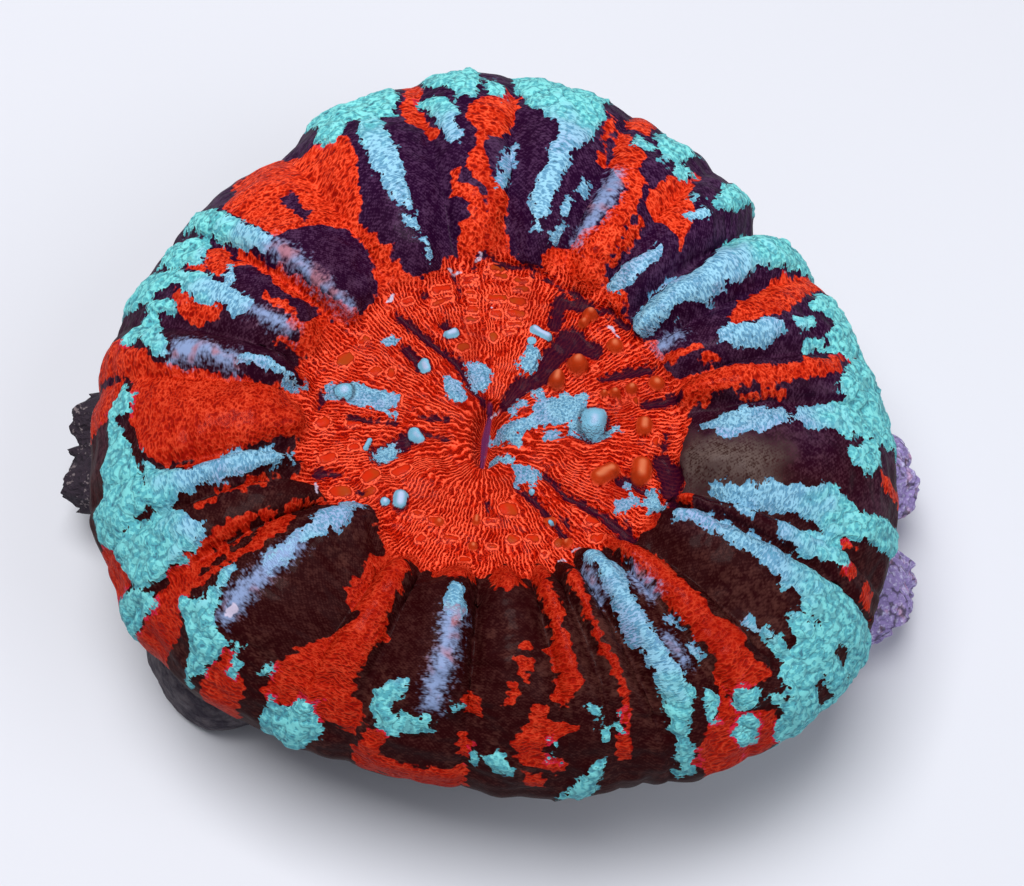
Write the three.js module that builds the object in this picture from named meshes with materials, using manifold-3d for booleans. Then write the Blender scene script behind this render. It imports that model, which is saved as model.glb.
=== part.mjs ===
import * as THREE from "three";
import { mergeVertices } from "three/addons/utils/BufferGeometryUtils.js";
import Module from "manifold-3d";

// A solitary fleshy coral: a soft polyp with a ring of swollen lobes round its oral disc,
// grown over a low stony skeleton that is cut off flat. Millimetres, +Z up.
// The origin is the middle of the cut face.

// The flesh sits on the skeleton at this height, with the mouth a little nearer to -Y than the middle
const SEAT_HEIGHT = 9;
const MOUTH_X = 0.15;
const MOUTH_Y = -4.65;

// Section of the flesh from the mouth, over the ring and round its edge, to the seat: radius, height
const FLESH_SECTION = [
  [0, 17.6], [4, 17.8], [8, 17.95], [10.6, 18], [11.6, 18.2], [12.3, 18.9], [12.9, 19.6],
  [14, 20.1], [16, 20.35], [18.5, 20.2], [20.8, 19.6], [22.8, 18.7], [24.6, 17.4], [26.1, 15.6],
  [27, 13.6], [26.9, 12], [25.9, 10.5], [24.2, 9.4], [22, SEAT_HEIGHT],
];
const SECTION_RADIUS = 27; // widest radius of that section, which each lobe's reach replaces
const DISC_RADIUS = 8; // the disc keeps its radius up to here
const FULL_REACH_RADIUS = 24; // from here on the section is scaled to the lobe's whole reach
const DISC_EDGE = 12; // length along the section at which the ring begins to rise
const EDGE_SHIFT_IN = [5, 9]; // lengths over which a lobe's own inner end takes over from that edge
const EDGE_SHIFT_OUT = [14, 18]; // and over which the plain section comes back

// Lobes in order round the mouth axis from +X towards +Y. Each has the angle of the groove before it
// and of its crest in degrees, how far both reach from the axis, the crest's height over its grooves,
// and the length along the section at which its inner end begins.
const LOBES = [
  { groove: 13, grooveReach: 28.5, crest: 18, reach: 27.9, height: 0.9, start: 12.6 },
  { groove: 23, grooveReach: 28.2, crest: 28.5, reach: 27.8, height: 1.5, start: 13 },
  { groove: 38, grooveReach: 28.2, crest: 44, reach: 27.9, height: 2.2, start: 12.2 },
  { groove: 49.5, grooveReach: 27, crest: 55, reach: 28.7, height: 1.5, start: 12.8 },
  { groove: 61.5, grooveReach: 29.7, crest: 68, reach: 29.9, height: 1.1, start: 12.5 },
  { groove: 75.5, grooveReach: 31.2, crest: 84.5, reach: 31.3, height: 2, start: 12.6 },
  { groove: 93, grooveReach: 32.3, crest: 100, reach: 32.3, height: 0.9, start: 13 },
  { groove: 107.5, grooveReach: 32, crest: 117, reach: 30.7, height: 2, start: 12.3 },
  { groove: 129.5, grooveReach: 29.2, crest: 145.5, reach: 28.4, height: 1.9, start: 12.2 },
  { groove: 150, grooveReach: 28.6, crest: 159, reach: 27.7, height: 1.3, start: 13.5 },
  { groove: 167.5, grooveReach: 28, crest: 172.5, reach: 27.7, height: 1.3, start: 13 },
  { groove: 177.5, grooveReach: 27.5, crest: 187, reach: 27, height: 1, start: 12.5 },
  { groove: 195.5, grooveReach: 27.4, crest: 199.5, reach: 27, height: 1.5, start: 13.3 },
  { groove: 204, grooveReach: 27, crest: 209, reach: 26.6, height: 0.7, start: 12.8 },
  { groove: 214, grooveReach: 26.8, crest: 222.5, reach: 25.7, height: 2.3, start: 9.9 },
  { groove: 243, grooveReach: 24.2, crest: 247.5, reach: 23.4, height: 0.9, start: 11 },
  { groove: 253, grooveReach: 23.4, crest: 266, reach: 22.7, height: 1.9, start: 10.2 },
  { groove: 272, grooveReach: 23.1, crest: 281, reach: 23.3, height: 1.6, start: 10 },
  { groove: 289, grooveReach: 24.1, crest: 293, reach: 24.1, height: 0.8, start: 10.2 },
  { groove: 297, grooveReach: 24.5, crest: 300.5, reach: 24.5, height: 0.9, start: 10.4 },
  { groove: 304, grooveReach: 25.4, crest: 309, reach: 26, height: 1.7, start: 10.2 },
  { groove: 316, grooveReach: 27, crest: 320.5, reach: 27.2, height: 0.8, start: 10.6 },
  { groove: 325, grooveReach: 28.1, crest: 337.5, reach: 28.3, height: 2, start: 12 },
  { groove: 341.5, grooveReach: 28.4, crest: 344, reach: 28, height: 0.6, start: 12.6 },
  { groove: 346.5, grooveReach: 28.2, crest: 357, reach: 28.1, height: 2, start: 12.8 },
];
const CREST_SHARE = 0.25; // share of a lobe's height that stands over the section
const GROOVE_RECESS = 0.9; // how much later than the lobes beside it a groove's inner end begins
const INNER_RISE = [-0.3, 2.2]; // the inner end rises between these lengths from the lobe's start
const OVER_EDGE = [21, 29]; // lengths over which a lobe flattens towards the outer edge
const OVER_EDGE_SHARE = 0.45; // share of its height left there
const TO_SEAT = [29, 37]; // lengths over which the rest dies away towards the seat
const COLUMN_WIDTH = 3; // angle of one column of facets, in degrees

// Mouth slit along Y, a little aside of the axis, and the lengths along the section of the facets' rows
const MOUTH_ASIDE = -0.35;
const MOUTH_HALF_LENGTH = 2.2;
const MOUTH_HALF_WIDTH = 0.15;
const MOUTH_DEPTH = 1.6;
const MOUTH_LIP = 0.9; // radius over which the lips roll into the slit
const MOUTH_REACH = 5; // radius at which the disc is round again
const FLESH_ROWS = [
  0, 0.5, 1.1, 2.2, 4, 6, 8, 9.6, 10.8, 11.6, 12.3, 13, 13.8, 15, 16.6, 18.4, 20.2, 22, 23.8, 25.6,
  27.4, 29.2, 31, 32.8, 34.6, 36.6,
];

// Papillae on the oral disc: place from the mouth axis, radius and height over the disc
const PAPILLAE = [
  { x: 6.7, y: 1.7, radius: 1.2, height: 0.9 },
  { x: 3.8, y: 4.8, radius: 0.75, height: 1.3 },
  { x: 5.3, y: 5.7, radius: 0.9, height: 1.4 },
  { x: 5.8, y: 9.7, radius: 0.7, height: 1 },
  { x: 7.7, y: 4.1, radius: 0.5, height: 0.7 },
  { x: 8.7, y: 4, radius: 0.45, height: 0.7 },
  { x: 10.8, y: 1.6, radius: 0.6, height: 0.7 },
  { x: 7.6, y: -2.2, radius: 0.9, height: 0.5 },
  { x: -5, y: -0.9, radius: 0.6, height: 0.6 },
  { x: -5.7, y: -5.8, radius: 0.6, height: 0.8 },
  { x: 2.2, y: 8, radius: 0.6, height: 0.7 },
  { x: -3.6, y: 7.2, radius: 0.5, height: 0.6 },
];
const PAPILLA_SIDES = 7;
const PAPILLA_RINGS = 5;

// Section of the stony skeleton from the cut to the seat: radius, height
const SKELETON_SECTION = [
  [20, 0], [20.8, 1.4], [21.7, 2.8], [22.6, 4.2], [23.3, 5.4], [23.8, 6.5], [23.9, 7.5], [23.4, 8.4],
  [22.2, SEAT_HEIGHT],
];
const RIB_COUNT = 48;
const RIB_DEPTH = 0.5;

// Broad bulges and crusty lumps on the skeleton's wall, with the reach of their tips from the origin
const LUMPS = [
  { angle: 187, z: 4, reach: 27.2, halfAngle: 16, halfHeight: 6 },
  { angle: 355, z: 4, reach: 27.8, halfAngle: 22, halfHeight: 6 },
  { angle: 225, z: 2.5, reach: 28.6, halfAngle: 14, halfHeight: 6 },
  { angle: 182, z: 6.2, reach: 30.3, halfAngle: 4, halfHeight: 1.7 },
  { angle: 191, z: 5.2, reach: 30.6, halfAngle: 5.5, halfHeight: 2.6 },
  { angle: 3, z: 6, reach: 30.4, halfAngle: 7, halfHeight: 2.4 },
  { angle: 348, z: 5.2, reach: 30.8, halfAngle: 7.5, halfHeight: 3.2 },
];

const FULL_TURN = 360;
const HALF_TURN = 180;
const section = new THREE.SplineCurve(FLESH_SECTION.map(([r, z]) => new THREE.Vector2(r, z)));
const sectionLength = section.getLength();
const { clamp, degToRad, lerp, smoothstep } = THREE.MathUtils;

// The stretch of a lobe that an angle falls on, from a groove to a crest or back to a groove,
// with the smooth mix of the two ends' reach and inner start
function lobeAt(angle) {
  const turn = angle < LOBES[0].groove ? angle + FULL_TURN : angle;
  const index = LOBES.findLastIndex((lobe) => lobe.groove <= turn);
  const lobe = LOBES[index];
  const before = LOBES.at(index - 1);
  const isLast = index === LOBES.length - 1;
  const after = LOBES[(index + 1) % LOBES.length];
  const end = after.groove + (isLast ? FULL_TURN : 0);
  const rising = turn < lobe.crest;
  const offset = rising
    ? (lobe.crest - turn) / (lobe.crest - lobe.groove)
    : (turn - lobe.crest) / (end - lobe.crest);
  const neighbour = rising ? before : after;
  const grooveReach = rising ? lobe.grooveReach : after.grooveReach;
  const grooveStart = (lobe.start + neighbour.start) / 2 + GROOVE_RECESS;
  const toGroove = smoothstep(offset, 0, 1);
  return {
    height: lerp(lobe.height, (lobe.height + neighbour.height) / 2, offset ** 2),
    pillow: 1 - offset ** 2,
    reach: lerp(lobe.reach, grooveReach, toGroove),
    start: lerp(lobe.start, grooveStart, toGroove),
  };
}

// How much of a lobe's height there is at a length along the section: it rises at the lobe's
// inner end, and dies away round the edge towards the seat
function swellAt(s, start) {
  const rise = smoothstep(s - start, ...INNER_RISE);
  const overEdge = lerp(1, OVER_EDGE_SHARE, smoothstep(s, ...OVER_EDGE));
  return rise * overEdge * (1 - smoothstep(s, ...TO_SEAT));
}

// A point of the flesh at an angle in degrees and a length along the section
function fleshPoint(angle, s) {
  const lobe = lobeAt(angle);
  const share = s / sectionLength;
  const radius = section.getPointAt(share).x;
  const slope = section.getTangentAt(share);
  const edgeShare = smoothstep(s, ...EDGE_SHIFT_IN) * (1 - smoothstep(s, ...EDGE_SHIFT_OUT));
  const shift = (DISC_EDGE - lobe.start) * edgeShare;
  const height = section.getPointAt((s + shift) / sectionLength).y;
  const lift = lobe.height * swellAt(s, lobe.start) * (lobe.pillow - 1 + CREST_SHARE);
  const toReach = clamp((radius - DISC_RADIUS) / (FULL_REACH_RADIUS - DISC_RADIUS), 0, 1);
  const widened = radius * lerp(1, lobe.reach / SECTION_RADIUS, toReach) - slope.y * lift;
  const slit = (1 - clamp(radius / MOUTH_REACH, 0, 1)) ** 2;
  const dip = MOUTH_DEPTH * Math.exp(-((radius / MOUTH_LIP) ** 2));
  const turn = degToRad(angle);
  return new THREE.Vector3(
    MOUTH_X + MOUTH_ASIDE * slit + (widened + MOUTH_HALF_WIDTH * slit) * Math.cos(turn),
    MOUTH_Y + (widened + MOUTH_HALF_LENGTH * slit) * Math.sin(turn),
    height + slope.x * lift - dip,
  );
}

// The angles of the facets' columns: each half of a lobe is divided evenly
function fleshColumns() {
  const angles = [];
  LOBES.forEach((lobe, index) => {
    const isLast = index === LOBES.length - 1;
    const end = LOBES[(index + 1) % LOBES.length].groove + (isLast ? FULL_TURN : 0);
    for (const [from, to] of [[lobe.groove, lobe.crest], [lobe.crest, end]]) {
      const count = Math.max(2, Math.round((to - from) / COLUMN_WIDTH));
      for (let step = 0; step < count; step += 1) {
        angles.push(lerp(from, to, step / count) % FULL_TURN);
      }
    }
  });
  return angles;
}

// A closed surface from rings of points, ordered from the top down, with a point on the axis at each end
function closedRings(rings, top, bottom) {
  const columns = rings[0].length;
  const points = [top, ...rings.flat(), bottom];
  const last = points.length - 1;
  const corner = (row, column) => 1 + row * columns + (column % columns);
  const faces = [];
  for (let column = 0; column < columns; column += 1) {
    faces.push(0, corner(0, column), corner(0, column + 1));
    for (let row = 0; row + 1 < rings.length; row += 1) {
      const [a, b] = [corner(row, column), corner(row, column + 1)];
      const [c, d] = [corner(row + 1, column), corner(row + 1, column + 1)];
      faces.push(a, c, d, a, d, b);
    }
    faces.push(last, corner(rings.length - 1, column + 1), corner(rings.length - 1, column));
  }
  const geometry = new THREE.BufferGeometry().setFromPoints(points);
  geometry.setIndex(faces);
  return geometry;
}

const wasm = await Module();
wasm.setup();

function toSolid(geometry) {
  geometry.deleteAttribute("normal");
  geometry.deleteAttribute("uv");
  const merged = mergeVertices(geometry);
  return new wasm.Manifold(new wasm.Mesh({
    numProp: 3,
    vertProperties: Float32Array.from(merged.attributes.position.array),
    triVerts: Uint32Array.from(merged.index.array),
  }));
}

function toGeometry(solid) {
  const mesh = solid.getMesh();
  const geometry = new THREE.BufferGeometry();
  geometry.setAttribute("position", new THREE.BufferAttribute(mesh.vertProperties, 3));
  geometry.setIndex(new THREE.BufferAttribute(mesh.triVerts, 1));
  return geometry;
}

// The polyp: mouth, oral disc and lobed ring in one skin, with the papillae joined to the disc
function polypGeometry() {
  const columns = fleshColumns();
  const rings = [...FLESH_ROWS, sectionLength].map((s) => columns.map((angle) => fleshPoint(angle, s)));
  const mouthBottom = new THREE.Vector3(MOUTH_X + MOUTH_ASIDE, MOUTH_Y, rings[0][0].z);
  const seatCentre = new THREE.Vector3(MOUTH_X, MOUTH_Y, SEAT_HEIGHT);
  let solid = toSolid(closedRings(rings, mouthBottom, seatCentre));
  for (const { x, y, radius, height } of PAPILLAE) {
    const discHeight = section.getPointAt(Math.hypot(x, y) / sectionLength).y;
    const papilla = new THREE.SphereGeometry(1, PAPILLA_SIDES, PAPILLA_RINGS);
    papilla.rotateX(Math.PI / 2);
    papilla.scale(radius, radius, height);
    papilla.translate(MOUTH_X + x, MOUTH_Y + y, discHeight);
    solid = solid.add(toSolid(papilla));
  }
  return toGeometry(solid);
}

// The skeleton: a low drum of upright ribs, with crusty lumps on its wall
function skeletonGeometry() {
  const columns = Array.from({ length: 2 * RIB_COUNT }, (_, column) => column);
  const step = FULL_TURN / columns.length;
  const rings = SKELETON_SECTION.toReversed().map(([radius, z]) => columns.map((column) => {
    const angle = column * step;
    let reach = radius - (column % 2) * RIB_DEPTH;
    for (const lump of LUMPS) {
      const turn = THREE.MathUtils.euclideanModulo(angle - lump.angle + HALF_TURN, FULL_TURN) - HALF_TURN;
      const away = (turn / lump.halfAngle) ** 2 + ((z - lump.z) / lump.halfHeight) ** 2;
      const near = Math.exp(-(away ** 2));
      reach = Math.max(reach, lerp(reach, lump.reach, near));
    }
    const turn = degToRad(angle);
    return new THREE.Vector3(reach * Math.cos(turn), reach * Math.sin(turn), z);
  }));
  const seatCentre = new THREE.Vector3(0, 0, SEAT_HEIGHT);
  return closedRings(rings, seatCentre, new THREE.Vector3(0, 0, 0));
}

const fleshFinish = new THREE.MeshStandardMaterial({ color: 0xc8401e, roughness: 0.35, metalness: 0 });
const stoneFinish = new THREE.MeshStandardMaterial({ color: 0x8f8698, roughness: 0.9, metalness: 0 });

const polyp = new THREE.Mesh(polypGeometry(), fleshFinish);
polyp.name = "polyp";
const skeleton = new THREE.Mesh(skeletonGeometry(), stoneFinish);
skeleton.name = "skeleton";

const coral = new THREE.Group();
coral.add(polyp, skeleton);

export default coral;
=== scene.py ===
"""Looks of a scolymia coral: one fleshy polyp grown on the cut stump of its stony skeleton.

Lengths are in millimetres until a mesh is made, and angles in degrees unless a name says otherwise.
The polyp is a skin over two parameters: the angle round the mouth, and the length along a radial
section from the mouth over the swollen ring down to the seat on the skeleton.
"""
import logging
import math
from dataclasses import astuple, dataclass, field
from enum import Enum
from typing import Any, Sequence

import bpy
import numpy as np
from mathutils import Matrix


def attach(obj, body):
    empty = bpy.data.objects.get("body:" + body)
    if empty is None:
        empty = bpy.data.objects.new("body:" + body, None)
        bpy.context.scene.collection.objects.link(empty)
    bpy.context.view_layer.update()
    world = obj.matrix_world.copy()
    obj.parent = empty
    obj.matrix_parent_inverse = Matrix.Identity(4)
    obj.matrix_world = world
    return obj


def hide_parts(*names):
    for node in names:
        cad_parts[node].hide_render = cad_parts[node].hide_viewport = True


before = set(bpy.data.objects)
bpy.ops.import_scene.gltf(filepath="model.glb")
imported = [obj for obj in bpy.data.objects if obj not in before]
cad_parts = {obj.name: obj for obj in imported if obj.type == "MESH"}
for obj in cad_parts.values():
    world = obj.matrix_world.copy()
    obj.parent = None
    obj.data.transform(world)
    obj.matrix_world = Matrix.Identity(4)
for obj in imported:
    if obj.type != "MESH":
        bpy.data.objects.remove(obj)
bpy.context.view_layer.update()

log = logging.getLogger("coral")

MM = 0.001
FULL_TURN = 360.0
FAR = -4.0

Colour = tuple[float, float, float, float]
Outline = tuple[tuple[float, float, float], ...]
Limits = tuple[float, float]
Scale = tuple[float, float, float]
Socket = bpy.types.NodeSocket


class Mark(str, Enum):
    """What a point of the flesh is marked with, and where it is; each is an attribute of the skin."""

    RED = "red"
    TEAL = "teal"
    PALE = "pale"
    OLIVE = "olive"
    VALLEY = "valley"
    WART = "wart"
    PEARL = "pearl"
    FLECK = "fleck"
    LIPS = "lips"
    DISC = "disc"
    BEND = "bend"
    CELL = "cell"
    CLUMPS = "clumps"
    BROAD = "broad"
    LENGTH = "section_length"
    WEAVE = "weave"


class Crust(str, Enum):
    """What grows on the skeleton; each is a float attribute of its wall."""

    CORALLINE = "coralline"
    KNOB = "knob"


# Markings of the ring. Each is an outline of (length, angle of its right side, angle of its left side)
RED_BANDS: tuple[Outline, ...] = (
    ((13.3, 13.8, 23.8), (14, 14, 23.5), (16, 15, 22.5), (17, 15.3, 21), (19, 15.5, 19.8), (21, 16.5, 20),
     (22.5, 17, 20.5), (24, 17.5, 21.5), (25, 19, 22)),
    ((25, 20, 22), (27.5, 22.6, 23.2)),
    ((17, 13.7, 14.4), (20, 13.8, 14.3)),
    ((15.2, 25, 26.3), (16.3, 25, 25.8)),
    ((13.8, 28, 31), (15.5, 28, 30)),
    ((13, 30, 32.5), (14, 30, 32)),
    ((18.3, 30, 33), (19, 30, 35), (20, 30, 36.2), (21, 30.3, 37), (22, 30.5, 37.8), (23, 31, 38),
     (24.5, 33, 39.5), (26, 34.5, 38.5), (27.5, 35.5, 38.5), (29, 36.5, 38.2), (31, 37, 40)),
    ((12, 50, 62), (13, 52, 62.5), (14, 53, 62)),
    ((19.2, 52, 54), (19.6, 53, 65), (20, 54, 65), (21, 55, 65), (22, 58, 64.5), (23, 60, 64), (24, 61, 62.5),
     (25.5, 61, 62.5)),
    ((12.3, 62, 77), (13, 63, 81), (13.6, 64, 82.5), (14.3, 64, 79.5), (15, 64, 76), (16, 64.3, 73),
     (17, 64.5, 70.5), (18, 65, 69.5), (19, 66, 69.5), (19.8, 66.3, 70), (20.5, 67, 72.5), (21, 67.5, 74),
     (21.7, 69, 75), (22.4, 69.5, 75.2), (23, 70, 75.5), (23.5, 73, 76), (24.5, 74, 76)),
    ((25, 71.5, 75.5), (26.5, 72, 75.5)),
    ((15, 62.5, 64), (17, 62, 64.5), (18.5, 62, 63.5)),
    ((23, 77, 78.5), (25, 77, 78.5)),
    ((21.3, 76, 77.5), (22.3, 76, 77)),
    ((13.6, 92, 107), (15.2, 93, 105)),
    ((15.3, 93, 97.5), (16.3, 93, 98), (17, 93, 98.5), (17.6, 97, 101), (18.4, 97.5, 102), (19, 98, 101.5),
     (19.7, 98.5, 100), (20.5, 97.5, 99.5)),
    ((15.3, 98, 103), (16.3, 100, 102), (17, 99.5, 106), (17.6, 104, 106), (18.4, 103.5, 105)),
    ((20.7, 95.5, 99.5), (21, 94.5, 99.5), (21.7, 93.5, 101), (22.5, 93, 101), (23, 92.5, 99.5),
     (23.7, 92.5, 98.5), (24.5, 92.5, 95), (25, 90, 94)),
    ((21.5, 105.8, 106.5), (22.5, 106.5, 108.5), (23, 107, 110.5), (24, 107.5, 110.5), (25, 107.5, 110),
     (26, 106.5, 109), (27.5, 107, 108)),
    ((12.3, 121, 132), (13.3, 123, 132.5), (14, 124, 132), (14.6, 125, 131.5), (15.2, 124.5, 130),
     (16, 126.3, 129.5), (17, 127, 129.5), (18, 127.5, 130), (18.6, 125, 133), (19.2, 124.5, 136),
     (20, 123.5, 145), (21, 122.5, 145), (22, 121, 145), (23, 120.8, 145), (24, 122, 145), (25, 124.5, 145),
     (26, 128, 141), (27, 130, 138)),
    ((12.3, 143, 150.5), (13.5, 145.5, 150.5), (14, 146.7, 150.4), (15, 147, 150.6), (16, 147.4, 150.6),
     (16.7, 147.8, 152.8), (18, 148, 153.4), (18.7, 148.4, 151), (20.5, 149, 150.7), (22, 149.2, 151)),
    ((12.3, 150, 166), (13, 150, 165.5), (14, 150, 165), (14.6, 150, 163), (15.2, 158, 161),
     (15.8, 159, 160.5)),
    ((14.5, 163.5, 165.2), (16, 164, 165)),
    ((16, 156, 159), (18, 156.5, 158)),
    ((21, 150, 152), (21.7, 151.5, 157), (22.5, 150.5, 157), (23.2, 150, 155.5), (23.8, 150, 152)),
    ((23, 156, 157.2), (25, 156.3, 157)),
    ((20.3, 162.5, 165), (21, 162, 166), (22, 163, 166.5), (22.6, 162, 166), (23.3, 161.5, 165.5),
     (24.2, 161, 163.5)),
    ((12.6, 166, 174), (13.4, 166, 173), (14.2, 168, 172.5)),
    ((12.5, 174, 191), (13.3, 173.5, 190.5), (14, 175.3, 191), (15, 176.3, 192.5), (16, 177, 194),
     (17, 177, 195.2), (19, 177, 195.3), (20, 176.5, 195.5), (22, 176.3, 195.5), (22.6, 175, 195.3),
     (23.5, 175.3, 194), (24.3, 174, 191), (25.2, 172.8, 186)),
    ((24.5, 173.5, 178), (25.5, 172.5, 178), (26.5, 171.5, 177), (28, 170, 176), (30, 170, 176)),
    ((18.5, 195, 197), (20, 195, 198.3), (21, 195, 198.5), (22, 195, 196.5)),
    ((26.8, 177, 182), (28, 177, 184), (31, 177, 184)),
    ((13.5, 202, 204), (14.3, 203, 204.1), (19, 203.3, 204.1)),
    ((16.3, 204, 206.5), (18, 204, 206.5), (19.3, 204, 205.5)),
    ((20, 205.3, 206.6), (21.3, 205.5, 206.3)),
    ((13, 213, 214.5), (14, 212.5, 214), (15, 212.3, 213.8), (16, 212, 213.8), (17, 211.8, 213.5),
     (18, 211.5, 213), (19, 211.3, 213.5), (19.7, 211, 213.8), (20.5, 211.5, 213.8), (21.5, 212, 214),
     (22.5, 212.3, 215), (24, 213, 219), (25, 213.5, 219)),
    ((15.8, 214, 217), (17, 214, 219), (18, 214, 220), (19, 217.5, 220.5), (20, 218, 220),
     (21.3, 218, 219.5)),
    ((18.5, 214, 215.2), (22, 214.2, 216), (25, 214.4, 218.6), (28, 215, 222)),
    ((20, 217.3, 218.5), (22, 217.3, 218.8), (24, 217, 219.2)),
    ((10.2, 252, 272), (12, 257, 270), (12.8, 260.5, 268), (13.3, 262.5, 266)),
    ((10.2, 274, 288), (12.4, 276, 286), (13.4, 278.5, 283.5), (13.9, 280.5, 282.5)),
    ((28.2, 202, 210), (29, 202, 211), (31, 203, 210)),
    ((26.5, 216, 222), (31, 216, 222)),
    ((26, 229, 231), (27, 229, 233), (28, 229, 235), (31, 229, 235.5)),
    ((10.8, 238, 252), (12, 240, 248), (13, 236.5, 249), (14, 238.3, 250), (15, 239.5, 250.5),
     (16, 238.5, 251), (17, 238.6, 251.5), (17.8, 241, 251.5), (18.6, 246, 252), (19.3, 245.5, 252.8),
     (20.5, 243, 252), (21.5, 241.5, 251.5), (22.3, 240.5, 251), (23, 238.7, 251.3), (24, 238.5, 251.3),
     (25, 237, 251.5), (26, 237, 253), (26.7, 237, 254.5), (27.5, 237, 254), (28, 238, 253)),
    ((27.3, 255, 259.5), (29.3, 255, 258)),
    ((29.6, 253, 270), (30.7, 255, 272)),
    ((22.6, 271, 273), (23.5, 270.8, 275), (24.5, 271, 274)),
    ((26.5, 271, 273), (27.2, 270.5, 273.5), (28, 271, 273)),
    ((29.3, 270.5, 272.5), (30.5, 270, 273)),
    ((11, 275, 284), (12.2, 276, 282), (13.5, 277.5, 279.5)),
    ((18.3, 282, 284.5), (18.9, 282, 284.5)),
    ((19.6, 281, 285), (20.5, 281.5, 284.5)),
    ((21, 281.5, 283.5), (21.4, 281.5, 283)),
    ((21.6, 280, 281.5), (22, 280, 281)),
    ((22.4, 279, 281), (23.2, 278, 280.5)),
    ((23.5, 283.5, 286), (24.5, 283, 286.5), (25, 282, 291), (25.5, 281.5, 290.5), (26, 280.5, 288),
     (26.6, 280, 285), (27.2, 280.5, 286), (28, 281, 288.5), (28.7, 286, 288.5)),
    ((29, 282, 285), (30, 282, 285)),
    ((10.6, 288, 297), (12, 289, 295), (13, 289.5, 293), (14, 290, 293), (15, 290.2, 294.5), (16, 290, 295),
     (17, 290, 293), (18, 290.2, 293.5), (18.6, 286.8, 293.5), (19.3, 288.5, 293), (20, 289, 293.5),
     (20.8, 289.5, 293), (21.5, 288, 294), (22.2, 287.5, 292.5), (22.8, 287.5, 290), (23.3, 289, 290)),
    ((13.3, 299, 302.3), (14.5, 298.5, 302), (15.5, 299, 301.5), (16.5, 298.8, 300.8), (17.5, 299, 300.3),
     (18.5, 298.8, 299.8), (19, 298.3, 300), (20, 298.5, 300.5), (21, 299.5, 301.3), (22, 299.8, 301.2),
     (23, 299.5, 300.8), (24, 299, 300.5), (25, 298.3, 300.3), (26, 297.8, 299), (27, 297.3, 299),
     (27.8, 296, 299), (28.4, 297, 298.5)),
    ((10.6, 316.5, 327), (12, 317.5, 325), (15, 317.6, 325), (16, 317.6, 325), (17, 317.3, 323.5),
     (18, 317, 322.5), (20, 317, 322.3), (21, 317, 323.8), (22, 317.3, 324), (22.8, 317.5, 322.5),
     (23.3, 316, 322.5), (24, 315, 322.5), (24.6, 315, 323.5), (25.3, 313, 323)),
    ((25.3, 313, 317), (26, 313, 316), (26.5, 311, 316), (27, 310, 318.5), (28, 308, 321), (28.8, 307.5, 320),
     (29.5, 307.5, 320), (30.5, 309, 317)),
    ((11, 326, 338), (12, 327, 337), (13, 333, 336.5)),
    ((12.7, 343, 347.3), (13.3, 341.8, 348), (14, 342, 347.5), (14.6, 342, 345)),
    ((24.8, 348, 349), (25.7, 348, 349)),
    ((27, 360, 362.5), (29, 360, 362.5)),
    ((25.3, 343, 345.5), (26.2, 343.4, 346.5)),
    ((27.4, 342.4, 345), (28.6, 342, 345.2)),
)
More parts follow.
